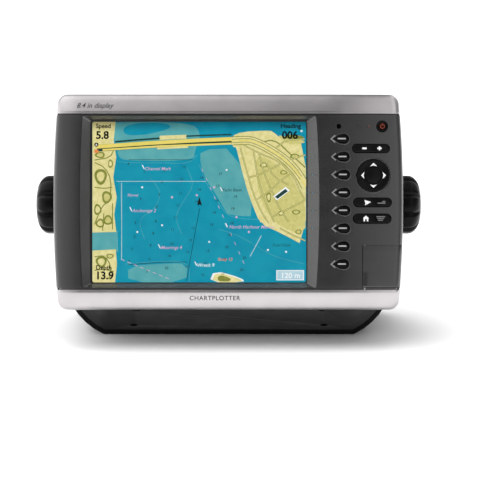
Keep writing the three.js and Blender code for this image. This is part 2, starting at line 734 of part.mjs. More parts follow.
function knob(side, studEnd) {
  const length = KNOB_LENGTH;
  const shoulder = arc(0, 0, 1, 0, 90, 6).map(([out, up]) => [
    KNOB_RADIUS + KNOB_SHOULDER[0] * (out - 1),
    length + KNOB_SHOULDER[1] * (up - 1),
  ]);
  const profile = [
    [0, 0],
    [KNOB_RADIUS - 5, 0],
    [KNOB_RADIUS - 1.2, 3.5],
    [KNOB_RADIUS, 6.5],
    ...shoulder,
    [0, length],
  ].map(([radius, along]) => new THREE.Vector2(radius, along));
  const body = new THREE.LatheGeometry(profile, 36);
  body.rotateZ(-Math.PI / 2).translate(KNOB_X, 0, 0);
  if (side < 0) body.rotateZ(Math.PI);
  const grips = Array.from({ length: KNOB_GRIPS }, (_, i) => {
    const angle = (2 * Math.PI * (i + 0.5)) / KNOB_GRIPS;
    const place = [Math.cos(angle) * (KNOB_RADIUS + 2.6), Math.sin(angle) * (KNOB_RADIUS + 2.6)];
    return bar("x", 4.6, [-200, 200], place, 10);
  });
  const bore = bar("x", STUD_RADIUS + GAP, toSide(side, KNOB_X - 1, studEnd + GAP), [0, 0], 16);
  return cut(solid(body), ...grips, bore);
}

// ---------- assembly ----------

const faceGroup = new THREE.Group();
faceGroup.position.z = PIVOT_BELOW_CENTRE;
const window = windowPieces();
const { top_trim: topTrim, bottom_trim: bottomTrim } = trims();
const board = (halfX, halfZ, depth) => slab(roundedRectangle(halfX, halfZ, 2, 2), depth);

piece(faceGroup, "front_bezel", frontBezel(), "greyPlastic");
piece(faceGroup, "top_trim", topTrim, "silverPaint");
piece(faceGroup, "bottom_trim", bottomTrim, "silverPaint");
piece(faceGroup, "window_gasket", window.gasket, "blackRubber");
piece(faceGroup, "window_lens", window.lens, "clearGlass");
piece(faceGroup, "lcd_panel", window.panel, "screen");
piece(faceGroup, "lcd_frame", window.frame, "steel");
piece(faceGroup, "light_sensor_window", sensorWindow(), "clearGlass");
softKeyPlaces.forEach((place, i) => piece(faceGroup, `softkey_${i + 1}`, softKey(place), "keyRubber"));
piece(faceGroup, "power_key", powerKey(), "keyRubber");
for (const [name, place] of Object.entries(ROCKERS)) piece(faceGroup, name, rocker(place), "keyRubber");
piece(faceGroup, "rocker_pad", rockerPad(), "keyRubber");
piece(faceGroup, "rocker_carrier", rockerCarrier(), "steel");
piece(faceGroup, "key_mat", keyPlate(0, MAT), "blackRubber");
piece(faceGroup, "key_board", keyPlate(1, KEY_BOARD), "board");
piece(faceGroup, "card_door", cardDoor(), "greyPlastic");
piece(faceGroup, "card_door_pin", cardDoorPin(), "steel");
piece(faceGroup, "card_door_seal", cardDoorSeal(), "blackRubber");
piece(faceGroup, "card_socket", cardSocket(), "steel");
piece(faceGroup, "memory_card", memoryCard(), "blackPlastic");
piece(faceGroup, "display_chassis", displayChassis(), "steel");
piece(faceGroup, "main_board", board(106, 62, MAIN_BOARD), "board");
piece(faceGroup, "processor_shield", processorShield(), "steel");
piece(faceGroup, "power_board", powerBoard(), "board");
piece(faceGroup, "lcd_ribbon", lcdRibbon(), "ribbon");
piece(faceGroup, "alarm_buzzer", alarmBuzzer(), "blackPlastic");
piece(faceGroup, "rear_case", rearCase(), "blackPowder");
piece(faceGroup, "heat_sink", heatSink(), "blackPowder");
piece(faceGroup, "case_gasket", caseGasket(), "blackRubber");
screwPlaces.forEach((place, i) => piece(faceGroup, `housing_screw_${i + 1}`, housingScrew(place), "steel"));
for (const [name, place] of Object.entries(PORTS)) {
  piece(faceGroup, name, portSocket(place), "blackPlastic");
}
piece(faceGroup, "pressure_vent", pressureVent(), "blackPlastic");

const headGroup = new THREE.Group();
headGroup.rotation.x = -THREE.MathUtils.degToRad(TILT_DEG);
headGroup.add(faceGroup);

const CLAMP_FINISHES = {
  knob: "blackPlastic",
  knob_stud: "steel",
  thrust_washer: "steel",
  friction_washer: "blackRubber",
  threaded_insert: "brass",
};
for (const [side, sideName] of [[-1, "left"], [1, "right"]]) {
  for (const [name, shape] of Object.entries(clamp(side))) {
    piece(headGroup, `${name}_${sideName}`, shape, CLAMP_FINISHES[name]);
  }
}

const tiltAxis = new THREE.Group();
tiltAxis.position.set(0, -footMiddle, PIVOT_HEIGHT);
tiltAxis.add(headGroup);
piece(tiltAxis, "mount_bracket", mountBracket(), "blackPowder");

const chartplotter = new THREE.Group();
chartplotter.add(tiltAxis);
export default chartplotter;
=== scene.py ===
# %% [markdown]
# # A chartplotter that tilts in its bracket
#
# The imported model gives every piece its place. This lesson builds the visible pieces round it: the
# head with its trims, window, keys and card door, the lit chart, and the bracket with its two knobs.
# The frame is loaded first. The finished pieces have to stay inside it.

import json
import math

import bmesh
import bpy
from mathutils import Matrix, Vector


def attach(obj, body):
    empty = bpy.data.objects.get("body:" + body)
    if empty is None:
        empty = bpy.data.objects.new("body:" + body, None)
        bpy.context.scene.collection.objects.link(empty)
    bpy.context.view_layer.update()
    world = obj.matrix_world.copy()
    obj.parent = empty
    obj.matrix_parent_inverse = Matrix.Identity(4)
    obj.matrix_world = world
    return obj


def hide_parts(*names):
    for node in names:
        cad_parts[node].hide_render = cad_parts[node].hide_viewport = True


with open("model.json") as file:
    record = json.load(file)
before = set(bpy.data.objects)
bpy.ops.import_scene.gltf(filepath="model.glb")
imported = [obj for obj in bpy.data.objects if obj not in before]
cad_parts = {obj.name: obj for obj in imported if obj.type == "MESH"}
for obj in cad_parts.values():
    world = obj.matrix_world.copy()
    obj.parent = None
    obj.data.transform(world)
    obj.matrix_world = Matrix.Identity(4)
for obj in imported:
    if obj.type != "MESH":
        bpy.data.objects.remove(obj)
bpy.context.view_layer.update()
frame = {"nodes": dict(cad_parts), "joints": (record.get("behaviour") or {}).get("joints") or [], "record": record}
nodes = frame["nodes"]
joints = {joint["name"]: joint for joint in frame["joints"]}

# %% [markdown]
# ## Working in the head's own directions
#
# The head leans back in its bracket, so a key isn't square to the world. It is easier to model in
# millimetres in front of an upright head and to lean the finished mesh back. One matrix does this:
# it scales to metres, leans, and moves to the tilt axis. The joints give the axis and the lean.

# %% Workbenches
pivot = Vector(joints["head_tilt"]["pos_m"])
press = Vector(joints["softkey_1_press"]["axis"])
lean = math.atan2(-press.z, press.y)
MILLIMETRES = Matrix.Scale(0.001, 4)
AXIS = Matrix.Translation(pivot) @ Matrix.Rotation(-lean, 4, "X") @ MILLIMETRES


def local_box(name, bench):
    """A node's lowest and highest corner on a workbench, in millimetres."""
    back = bench.inverted()
    points = [back @ v.co for v in nodes[name].data.vertices]
    low = Vector(min(p[i] for p in points) for i in range(3))
    high = Vector(max(p[i] for p in points) for i in range(3))
    return low, high


low, high = local_box("lcd_panel", AXIS)
FACE = AXIS @ Matrix.Translation((0, 0, (low.z + high.z) / 2))
SCREEN_X = (low.x + high.x) / 2
print("lean", round(math.degrees(lean), 2), "screen centre", round(SCREEN_X, 2))

# %% [markdown]
# ## The camera
#
# The camera stands 1.46 m in front of the head, square to its face, and a little low and to the
# right. A long lens keeps the sides of the head almost parallel, as in a catalogue picture.

# %% Camera
camera = bpy.data.objects.new("camera", bpy.data.cameras.new("camera"))
bpy.context.scene.collection.objects.link(camera)
camera.data.sensor_width = 36
camera.data.lens = 131.25
camera.data.clip_end = 30
camera.location = AXIS @ Vector((9.4, -1462, -29.5))
camera.rotation_euler = (Matrix.Rotation(-lean, 4, "X") @ Matrix.Rotation(math.pi / 2, 4, "X")).to_euler()
bpy.context.scene.camera = camera
bpy.context.scene.view_settings.view_transform = "Standard"
print("camera at", [round(v, 3) for v in camera.location])

# %% [markdown]
# ## Light from a wide, soft sky
#
# A studio tent lights such a picture: white cloth above and at the sides, and a darker gap where the
# camera stands. A world shader can stand for it. The direction of each ray picks the brightness: one
# ramp runs from left to right, a weak one brightens the low directions, and one brightens the high
# directions, mostly on the left. The silver trims mirror these ramps, which gives them their run from
# bright to grey, and the dark gap keeps the charcoal face dark.

# %% World
world = bpy.data.worlds.new("studio_tent")
bpy.context.scene.world = world
world.use_nodes = True
sky = world.node_tree
sky.nodes.clear()


def ramp(tree, source, stops):
    """A grey ramp: stops are (place, value) pairs, with places from 0 to 1."""
    node = tree.nodes.new("ShaderNodeValToRGB")
    node.color_ramp.interpolation = "EASE"
    first, last = node.color_ramp.elements
    first.position, first.color = stops[0][0], (*[stops[0][1]] * 3, 1)
    last.position, last.color = stops[-1][0], (*[stops[-1][1]] * 3, 1)
    for place, value in stops[1:-1]:
        node.color_ramp.elements.new(place).color = (*[value] * 3, 1)
    tree.links.new(source, node.inputs["Fac"])
    return node.outputs["Color"]


def math_node(tree, kind, a, b):
    node = tree.nodes.new("ShaderNodeMath")
    node.operation = kind
    for socket, value in zip(node.inputs, (a, b)):
        if isinstance(value, (int, float)):
            socket.default_value = value
        else:
            tree.links.new(value, socket)
    return node.outputs["Value"]


direction = sky.nodes.new("ShaderNodeTexCoord").outputs["Generated"]
split = sky.nodes.new("ShaderNodeSeparateXYZ")
sky.links.new(direction, split.inputs["Vector"])
across = math_node(sky, "MULTIPLY_ADD", split.outputs["X"], 0.5)
across.node.inputs[2].default_value = 0.5
LEFT_TO_RIGHT = [(0, 1.6), (0.1, 1.3), (0.2, 0.95), (0.3, 0.75), (0.4, 0.45), (0.455, 0.24), (0.5, 0.18),
                 (0.53, 0.12), (0.56, 0.25), (0.6, 0.65), (0.65, 0.95), (0.7, 1.2), (0.85, 0.6), (1, 0.3)]
LOW = [(0, 0.25), (0.2, 0.1), (0.36, 0.02), (0.44, 0.02), (1, 0.02)]
HIGH = [(0, 0), (0.44, 0), (0.52, 0.3), (0.7, 0.42), (0.9, 0.62), (1, 0.6)]
HIGH_SHARE = [(0, 1), (0.2, 2), (0.44, 2), (0.475, 1.8), (0.505, 1.2), (0.54, 0.3), (0.6, 0.1), (1, 0.2)]
TENT_STRENGTH = 0.85
sideways = math_node(sky, "ADD", ramp(sky, across, LEFT_TO_RIGHT), ramp(sky, split.outputs["Z"], LOW))
overhead_glow = math_node(sky, "MULTIPLY", ramp(sky, split.outputs["Z"], HIGH), ramp(sky, across, HIGH_SHARE))
glow = math_node(sky, "ADD", sideways, overhead_glow)
backdrop = sky.nodes.new("ShaderNodeBackground")
sky.links.new(math_node(sky, "MULTIPLY", glow, TENT_STRENGTH), backdrop.inputs["Color"])
output = sky.nodes.new("ShaderNodeOutputWorld")
sky.links.new(backdrop.outputs["Background"], output.inputs["Surface"])
print("world stops from left to right:", len(LEFT_TO_RIGHT), "and upwards:", len(LOW) + len(HIGH))

# %% [markdown]
# ## One soft light from above
#
# A sun lamp lights the floor evenly however far it reaches. It is given the width of a large diffuser,
# so that its shadow is soft, and it comes a little from the left. Shiny surfaces don't mirror it.

# %% Overhead light
overhead = bpy.data.objects.new("overhead", bpy.data.lights.new("overhead", "SUN"))
overhead.data.energy = 1.9
overhead.data.angle = math.radians(62)
overhead.rotation_euler = Vector((0.22, 0.08, -1)).to_track_quat("-Z", "Y").to_euler()
overhead.visible_glossy = False
bpy.context.scene.collection.objects.link(overhead)
print("overhead light", round(overhead.data.energy, 2), "over", round(math.degrees(overhead.data.angle)), "degrees")

# %% [markdown]
# ## Surface effects that several finishes share
#
# A moulded or painted surface is never one flat colour. Three small node groups supply what differs
# over it: a slow mottle, a fine grain for the bump, and a mask of worn edges. The last one compares the
# true normal with one that is averaged over half a millimetre: they differ only near an edge. A group
# is built once, and every material places it with its own numbers.

# %% Node groups


def new_group(name, inputs, output):
    """An empty group that reads Object coordinates: returns its tree, its input and the output socket."""
    tree = bpy.data.node_groups.new(name, "ShaderNodeTree")
    for label, value in inputs:
        socket = tree.interface.new_socket(label, in_out="INPUT", socket_type="NodeSocketFloat")
        socket.default_value = value
    tree.interface.new_socket(output, in_out="OUTPUT", socket_type="NodeSocketFloat")
    source = tree.nodes.new("NodeGroupInput")
    result = tree.nodes.new("NodeGroupOutput").inputs[output]
    place = tree.nodes.new("ShaderNodeTexCoord").outputs["Object"]
    return tree, source.outputs, result, place


def noise_in(tree, place, scale, detail):
    node = tree.nodes.new("ShaderNodeTexNoise")
    node.inputs["Detail"].default_value = detail
    tree.links.new(place, node.inputs["Vector"])
    tree.links.new(scale, node.inputs["Scale"])
    return node.outputs["Fac"]


mottle_group, given, result, place = new_group("mottle", [("Scale", 60), ("Contrast", 2)], "Mask")
spread = math_node(mottle_group, "MULTIPLY_ADD", noise_in(mottle_group, place, given["Scale"], 3), given["Contrast"])
spread.node.inputs[2].default_value = -0.5
spread.node.use_clamp = True
mottle_group.links.new(spread, result)

grain_group, given, result, place = new_group("grain", [("Scale", 2500), ("Coarse share", 0.3)], "Height")
fine = noise_in(grain_group, place, given["Scale"], 2)
coarse = noise_in(grain_group, place, math_node(grain_group, "MULTIPLY", given["Scale"], 0.2), 1)
mixed = math_node(grain_group, "ADD", fine, math_node(grain_group, "MULTIPLY", coarse, given["Coarse share"]))
grain_group.links.new(mixed, result)

wear_group, given, result, place = new_group("edge_wear", [("Reach", 2.5), ("Breakup", 260)], "Mask")
rounded = wear_group.nodes.new("ShaderNodeBevel")
rounded.samples = 4
rounded.inputs["Radius"].default_value = 0.0005
facing = wear_group.nodes.new("ShaderNodeVectorMath")
facing.operation = "DOT_PRODUCT"
wear_group.links.new(rounded.outputs["Normal"], facing.inputs[0])
wear_group.links.new(wear_group.nodes.new("ShaderNodeNewGeometry").outputs["Normal"], facing.inputs[1])
turned = math_node(wear_group, "SUBTRACT", 1, facing.outputs["Value"])
raised = math_node(wear_group, "MULTIPLY", math_node(wear_group, "SUBTRACT", turned, 0.02), given["Reach"])
patchy = math_node(wear_group, "MULTIPLY", raised, noise_in(wear_group, place, given["Breakup"], 4))
patchy.node.use_clamp = True
wear_group.links.new(patchy, result)
print("node groups:", [group.name for group in bpy.data.node_groups])

# %% [markdown]
# ## A recipe for an ordinary finish
#
# Plastic, rubber, paint and metal differ in their numbers more than in their nodes. One function
# builds them all: two shades mixed by the mottle, a paler edge where wear shows, roughness that
# wanders a little, and grain as bump. A number that is the same all over is set on the shader itself.

# %% Ordinary finishes


def shade(red, green, blue):
    """A screen colour from 0 to 255 as the shader's linear colour."""
    return tuple(((c / 255 + 0.055) / 1.055) ** 2.4 if c > 10 else c / 3294 for c in (red, green, blue)) + (1,)


def place_group(tree, group, **values):
    node = tree.nodes.new("ShaderNodeGroup")
    node.node_tree = group
    for label, value in values.items():
        node.inputs[label.replace("_", " ")].default_value = value
    return node.outputs[0]


def blend_colours(tree, share, a, b):
    node = tree.nodes.new("ShaderNodeMix")
    node.data_type = "RGBA"
    tree.links.new(share, node.inputs["Factor"])
    for socket, value in ((node.inputs["A"], a), (node.inputs["B"], b)):
        if isinstance(value, tuple):
            socket.default_value = value
        else:
            tree.links.new(value, socket)
    return node.outputs["Result"]


def finish(name, dark, light, roughness, grain=(2500, 0.02), mottle=60, wear=None, **sockets):
    """A finish: two colours, (lowest, highest) roughness, (scale, depth in mm) of grain, worn colour."""
    material = bpy.data.materials.new(name)
    material.use_nodes = True
    tree = material.node_tree
    shader = tree.nodes["Principled BSDF"]
    mask = place_group(tree, mottle_group, Scale=mottle)
    colour = blend_colours(tree, mask, shade(*dark), shade(*light))
    if wear:
        colour = blend_colours(tree, place_group(tree, wear_group), colour, shade(*wear))
    tree.links.new(colour, shader.inputs["Base Color"])
    rough = math_node(tree, "MULTIPLY_ADD", mask, roughness[1] - roughness[0])
    rough.node.inputs[2].default_value = roughness[0]
    tree.links.new(rough, shader.inputs["Roughness"])
    bump = tree.nodes.new("ShaderNodeBump")
    bump.inputs["Strength"].default_value = 1
    bump.inputs["Distance"].default_value = grain[1] / 1000
    tree.links.new(place_group(tree, grain_group, Scale=grain[0]), bump.inputs["Height"])
    tree.links.new(bump.outputs["Normal"], shader.inputs["Normal"])
    for label, value in sockets.items():
        shader.inputs[label.replace("_", " ")].default_value = value
    return material


charcoal = finish("charcoal_plastic", (13, 13, 12), (19, 19, 18), (0.2, 0.26), (3000, 0.003),
                  wear=(48, 48, 47), Specular_IOR_Level=1)
silver = finish("silver_paint", (188, 184, 185), (198, 194, 195), (0.16, 0.2), (5000, 0.0008), Metallic=0.92)
black_gloss = finish("black_gloss_plastic", (3, 3, 3), (6, 6, 6), (0.22, 0.3), (2600, 0.002),
                     wear=(26, 26, 26), Specular_IOR_Level=0.12)
key_rubber = finish("key_rubber", (5, 5, 5), (9, 9, 9), (0.24, 0.34), (4000, 0.003),
                    wear=(40, 40, 40), Specular_IOR_Level=0.12)
# Painted highlight: a pale grey for the chevrons that stand for the glints on the soft-key collars.
painted_glint_grey = finish("painted_glint_grey", (104, 104, 103), (126, 126, 125), (0.3, 0.4), (3600, 0.003))
# Painted sheen: a paler grey than the charcoal, standing for the bright light that the sloping window frame mirrors.
frame_painted_sheen = finish("window_frame_painted_sheen", (40, 40, 39), (50, 50, 49), (0.2, 0.28), (3600, 0.002),
                    Specular_IOR_Level=1)
seal_rubber = finish("seal_rubber", (14, 14, 14), (22, 22, 22), (0.7, 0.85), (1800, 0.02))
powder = finish("black_powder_coat", (4, 4, 4), (8, 8, 8), (0.46, 0.58), (1600, 0.02),
                wear=(44, 44, 44), Specular_IOR_Level=0.12)
steel = finish("stainless_steel", (176, 176, 178), (196, 196, 197), (0.22, 0.36), (900, 0.003),
               wear=(222, 222, 222), Metallic=1)
aluminium = finish("sheet_aluminium", (198, 198, 198), (214, 214, 214), (0.34, 0.48), (1400, 0.004), Metallic=1)
brass = finish("turned_brass", (192, 152, 84), (212, 176, 108), (0.25, 0.38), (1200, 0.003),
               wear=(232, 206, 150), Metallic=1)
solder_mask = finish("solder_mask", (18, 78, 42), (26, 96, 54), (0.3, 0.45), (700, 0.02), mottle=900)
amber_film = finish("amber_film", (176, 128, 62), (196, 150, 84), (0.25, 0.35), (600, 0.01), mottle=400)
moulded = finish("moulded_black", (12, 12, 12), (18, 18, 18), (0.5, 0.65), (2600, 0.012),
                 wear=(60, 60, 60), Specular_IOR_Level=0.3)
INKS = {"white": ((222, 222, 222), (240, 240, 240)), "grey": ((150, 150, 150), (176, 176, 176)),
        "faint": ((96, 96, 96), (116, 116, 116)), "dark": ((34, 34, 36), (48, 48, 50)),
        "orange": ((120, 44, 20), (146, 58, 28)), "red": ((74, 44, 44), (86, 50, 50))}
ink = {name: finish(f"{name}_print", *shades, (0.45, 0.6), (5000, 0.002)) for name, shades in INKS.items()}
floor_white = finish("studio_floor", (246, 246, 246), (250, 250, 250), (0.75, 0.85), (300, 0.05), mottle=3,
                     Specular_IOR_Level=0.1)
print("finishes:", len(bpy.data.materials))

# %% [markdown]
# ## Glass
#
# Glass lets light through, so it needs its own short recipe: full transmission, a plain metallic of
# zero, and only the faintest smears in its roughness. A low index of refraction stands for the
# coating that keeps reflections off the window.

# %% Glass
GLASS_IOR = 1.18


def glass(name, tint, smear):
    material = bpy.data.materials.new(name)
    material.use_nodes = True
    tree = material.node_tree
    shader = tree.nodes["Principled BSDF"]
    mask = place_group(tree, mottle_group, Scale=25)
    tree.links.new(blend_colours(tree, mask, tint, (1, 1, 1, 1)), shader.inputs["Base Color"])
    tree.links.new(math_node(tree, "MULTIPLY", mask, smear), shader.inputs["Roughness"])
    shader.inputs["Transmission Weight"].default_value = 1
    shader.inputs["IOR"].default_value = GLASS_IOR
    return material


window_glass = glass("window_glass", (0.97, 0.985, 0.985, 1), 0.03)
print("glass IOR", GLASS_IOR)

# %% [markdown]
# ## The floor
#
# One pale plane, wide enough that its edge is never in view. It is a stage, not part of the object.

# %% Floor
floor_bm = bmesh.new()
bmesh.ops.create_grid(floor_bm, x_segments=8, y_segments=8, size=12)
floor_mesh = bpy.data.meshes.new("floor")
floor_bm.to_mesh(floor_mesh)
floor_bm.free()
floor = bpy.data.objects.new("floor", floor_mesh)
bpy.context.scene.collection.objects.link(floor)
floor_mesh.materials.append(floor_white)
print("floor at height", round(min(v.co.z for v in floor_mesh.vertices), 3))

# %% [markdown]
# ## From bench to model
#
# Every mesh is drawn in millimetres on a workbench. One function then cleans it, moves it to its real
# place, and tells the frame which body it rides on, which nodes it stands for and which finish it has.

# %% Set a piece in its place


def bevel(bm, edges, width, segments):
    return bmesh.ops.bevel(bm, geom=edges, offset=width, offset_type="OFFSET", segments=segments, profile=0.5,
                           material=-1, affect="EDGES", clamp_overlap=True)


def as_object(bm, name):
    mesh = bpy.data.meshes.new(name)
    bm.to_mesh(mesh)
    bm.free()
    made = bpy.data.objects.new(name, mesh)
    bpy.context.scene.collection.objects.link(made)
    return made


def settle(made, bench, body, material, slot, *stands_for, angle=32):
    """Bakes the bench's place into the mesh, and fixes body and finish; slot is not used."""
    mesh = made.data
    mesh.transform(bench)
    mesh.materials.clear()
    mesh.materials.append(material)
    mesh.polygons.foreach_set("use_smooth", [True] * len(mesh.polygons))
    mesh.set_sharp_from_angle(angle=math.radians(angle))
    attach(made, body)
    if stands_for:
        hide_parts(*stands_for)
    print(made.name, len(mesh.polygons), "faces, rides", body)
    return made


def carve(made, operation, *tools):
    """Applies Booleans with other objects, and throws those away."""
    for tool in tools:
        cut = made.modifiers.new("cut", "BOOLEAN")
        cut.operation, cut.object, cut.solver = operation, tool, "EXACT"
        cut.use_self = True
    done = bpy.data.meshes.new_from_object(made.evaluated_get(bpy.context.evaluated_depsgraph_get()))
    made.modifiers.clear()
    made.data = done
    for tool in tools:
        bpy.data.objects.remove(tool)
    return made


# %% [markdown]
# ## The head's outer form
#
# The trims, the bezel, the card door and the keys all lie on one surface: a broad box with round
# corners, a rounded front rim and slightly bowed sides, whose face falls away towards its edges. The
# form is a cube with two bevels. It is then sliced finely enough to bend, and each point is moved by
# the same rule, so pieces made from it always agree.

# %% Outer form
low, high = local_box("front_bezel", FACE)
FRONT, BACK = low.y, high.y
trim_low, trim_high = local_box("top_trim", FACE)
HALF_WIDTH = high.x
HALF_HEIGHT = trim_high.z
CORNER, RIM_WIDTH, RIM_DEPTH = 7.5, 4, 8
SIDE_BOW, DROP_X, DROP_UP, DROP_DOWN = 4, 4.5, 3.8, 4.5
FLAT_LEFT, FLAT_RIGHT, FLAT_Z = 119, 78, 61


def face_drop(x, z):
    """How far the face lies behind its foremost plane."""
    flat = FLAT_RIGHT if x > 0 else FLAT_LEFT
    sideways = DROP_X * (max(0, abs(x) - flat) / (HALF_WIDTH - flat)) ** 2
    share = max(0, abs(z) - FLAT_Z) / (HALF_HEIGHT - FLAT_Z)
    return sideways + (DROP_UP * share ** 2 if z > 0 else DROP_DOWN * share ** 3)


def slice_at(bm, axis, places):
    for place in places:
        point, normal = [0, 0, 0], [0, 0, 0]
        point[axis], normal[axis] = place, 1
        bmesh.ops.bisect_plane(bm, geom=bm.verts[:] + bm.edges[:] + bm.faces[:], plane_co=point, plane_no=normal)


def keep_side(bm, axis, place, keep):
    """Cuts at a plane and keeps what lies above it (keep 1) or below it (keep -1)."""
    point, normal = [0, 0, 0], [0, 0, 0]
    point[axis], normal[axis] = place, keep
    bmesh.ops.bisect_plane(bm, geom=bm.verts[:] + bm.edges[:] + bm.faces[:], plane_co=point, plane_no=normal,
                           clear_inner=True)


def depth_edges(bm):
    """The edges that run from front to back."""
    return [e for e in bm.edges if abs(e.verts[0].co.y - e.verts[1].co.y) > 1]


def edges_before(bm, depth):
    """The edges that lie wholly in front of a depth."""
    return [e for e in bm.edges if all(v.co.y < depth for v in e.verts)]


SLICES_ACROSS = [-133, -130, -127, -124, -121, -117, -60, 0, 60, 76, 80] + [84 + 5 * i for i in range(11)]
SLICES_UP = [20, 40, 56, 61, 64, 67, 70, 73, 76, 78, 80]


def head_form():
    """The closed form of the head's front, as a bmesh."""
    bm = bmesh.new()
    bmesh.ops.create_cube(bm, size=1)
    bmesh.ops.scale(bm, vec=(2 * HALF_WIDTH, BACK - FRONT, 2 * HALF_HEIGHT), verts=bm.verts)
    bmesh.ops.translate(bm, vec=(0, (BACK + FRONT) / 2, 0), verts=bm.verts)
    bevel(bm, depth_edges(bm), CORNER, 6)
    bevel(bm, edges_before(bm, FRONT + 0.01), RIM_WIDTH, 6)
    for v in bm.verts:
        if v.co.y < FRONT + RIM_WIDTH + 0.01:
            v.co.y = FRONT + (v.co.y - FRONT) * RIM_DEPTH / RIM_WIDTH
    slice_at(bm, 0, SLICES_ACROSS)
    slice_at(bm, 2, [-z for z in SLICES_UP] + [0] + SLICES_UP)
    for v in bm.verts:
        x, y, z = v.co
        v.co.x = x * (1 - SIDE_BOW * (z / HALF_HEIGHT) ** 2 / HALF_WIDTH)
        v.co.y = y + face_drop(v.co.x, z) * max(0, (BACK - y) / (BACK - FRONT))
    return bm


print("form", round(2 * HALF_WIDTH, 1), "by", round(2 * HALF_HEIGHT, 1), "front at", round(FRONT, 2))

# %% [markdown]
# ## The silver trims
#
# A silver band runs along the top of the head and another along the bottom. Each is a thin painted
# moulding that wraps the edge. The outer form without its back is cut down to the band, given a wall
# inwards, and its rims get a tiny bevel that catches the light.

# %% Trims
TRIM_BACK = local_box("top_trim", FACE)[1].y
TRIM_TOP = trim_low.z
TRIM_BOTTOM = local_box("bottom_trim", FACE)[1].z


def skin_patch(wall, *cuts, lift=0):
    """Part of the form's surface, cut down by (axis, place, side), with a wall inwards."""
    bm = head_form()
    bmesh.ops.delete(bm, geom=[f for f in bm.faces if f.calc_center_median().y > BACK - 0.1], context="FACES")
    for axis, place, side in cuts:
        keep_side(bm, axis, place, side)
    bmesh.ops.dissolve_degenerate(bm, dist=0.001, edges=bm.edges)
    bmesh.ops.recalc_face_normals(bm, faces=bm.faces)
    bm.normal_update()
    for v, normal in [(v, v.normal.copy()) for v in bm.verts]:
        v.co += lift * normal
    bmesh.ops.solidify(bm, geom=bm.faces[:], thickness=wall)
    return bm


def soften_rims(bm, width, segments=2, least=50):
    sharp = [e for e in bm.edges if len(e.link_faces) == 2 and e.calc_face_angle() > math.radians(least)]
    bevel(bm, sharp, width, segments)
    return bm


TRIM_WALL = 2.2
UPPER_JOINT, LOWER_JOINT = TRIM_TOP + 0.8, TRIM_BOTTOM - 1.1


def trim(node, name, place, side):
    bm = skin_patch(TRIM_WALL, (2, place, side), (1, TRIM_BACK, -1))
    return settle(as_object(soften_rims(bm, 0.3), name), FACE, "head", silver, "silver_trim", node)


trim("top_trim", "silver_trim_top", UPPER_JOINT, 1)
trim("bottom_trim", "silver_trim_bottom", LOWER_JOINT, -1)

# %% [markdown]
# ## Outlines and plates
#
# Keys, key holes, prints and the shapes on the chart all start as a flat outline that is extruded
# into a plate. A face is made from the outline's few points, and the extrude operator gives it depth.

# %% Plates


def arc(cx, cz, radius, from_deg, to_deg, steps):
    angles = [math.radians(from_deg + (to_deg - from_deg) * i / steps) for i in range(steps + 1)]
    return [(cx + radius * math.cos(a), cz + radius * math.sin(a)) for a in angles]


def give_depth(bm, face, direction):
    """Extrudes a face along a direction."""
    grown = bmesh.ops.extrude_face_region(bm, geom=[face])
    moved = [v for v in grown["geom"] if isinstance(v, bmesh.types.BMVert)]
    bmesh.ops.translate(bm, vec=direction, verts=moved)


def add_plate(bm, outline, front, back):
    """Adds a closed plate with this (x, z) outline between two depths."""
    face = bm.faces.new([bm.verts.new((x, front, z)) for x, z in outline])
    face.normal_update()
    if face.normal.y > 0:
        face.normal_flip()
    give_depth(bm, face, (0, back - front, 0))
    bmesh.ops.recalc_face_normals(bm, faces=bm.faces)
    return bm


def plate(outline, front, back):
    return add_plate(bmesh.new(), outline, front, back)


def moved_by(outline, dx, dz):
    return [(x + dx, z + dz) for x, z in outline]


def soft_key_outline(grow):
    radius = 3.2 + grow
    point = [(-1.6, 0.86), (-4, 0.5)]
    return (arc(2.5, 0, radius, -90, 90, 10) + [(x, radius * z) for x, z in point] + [(-5.7 - 1.4 * grow, 0)]
            + [(x, -radius * z) for x, z in reversed(point)])


def pill_outline(half_x, half_z, grow=0):
    radius = half_z + grow
    return arc(half_x - half_z, 0, radius, -90, 90, 12) + arc(half_z - half_x, 0, radius, 90, 270, 12)


def circle_outline(radius, sides=32):
    return arc(0, 0, radius, 0, 360 - 360 / sides, sides - 1)


SOFT_KEYS = [f"softkey_{i}" for i in range(1, 9)]


def middle_of(name):
    low, high = local_box(name, FACE)
    return (low.x + high.x) / 2, (low.z + high.z) / 2


ROCKERS = {name: middle_of(name) for name in ("range_rocker", "mark_rocker", "home_rocker")}
ROCKER_HALF = {"range_rocker": (14.6, 3.35), "mark_rocker": (14.9, 3.5), "home_rocker": (14.9, 3.7)}
soft_places = [middle_of(name) for name in SOFT_KEYS]
pad_place, power_place, sensor_place = (middle_of(n) for n in ("rocker_pad", "power_key", "light_sensor_window"))
print("soft keys at", [(round(x, 1), round(z, 1)) for x, z in soft_places])

# %% [markdown]
# ## The bezel
#
# The bezel is one charcoal moulding with many openings. It starts as the closed outer form. Under the
# trims its surface steps back by their thickness. Booleans then hollow it and cut the sloping window
# frame, the key holes, the card bay and the fine lines that lead from the screen to the soft keys. The
# slope round the window is smoother than the face and given a paler grey, a painted sheen for the bright
# light it mirrors. A matt black band along its inner lip stands partly for the dark gasket. Its widths,
# widest at the top where the deep frame is in shadow and narrowest on the lit right side, and a dark rim
# at its front edge except on the right, are painted shade. Those faces get material slots of their own.

# %% Bezel
SCREEN_HALF_X, SCREEN_HALF_Z = 86, 64.6
OPENING_Y = local_box("window_gasket", FACE)[0].y - 0.3
door_low, door_high = local_box("card_door", FACE)
DOOR_LEFT, DOOR_TOP, DOOR_BOTTOM, DOOR_BACK = 107.6, door_high.z, door_low.z, -49.5
PIN = (109.3, -59.4)
FRAME_LIP, FRAME_BOW, FRAME_RISE = 7.8, 2.4, 4.5
HOLE_FRONT, HOLE_BACK = -70, -50
TRIM_STEP = 2.5


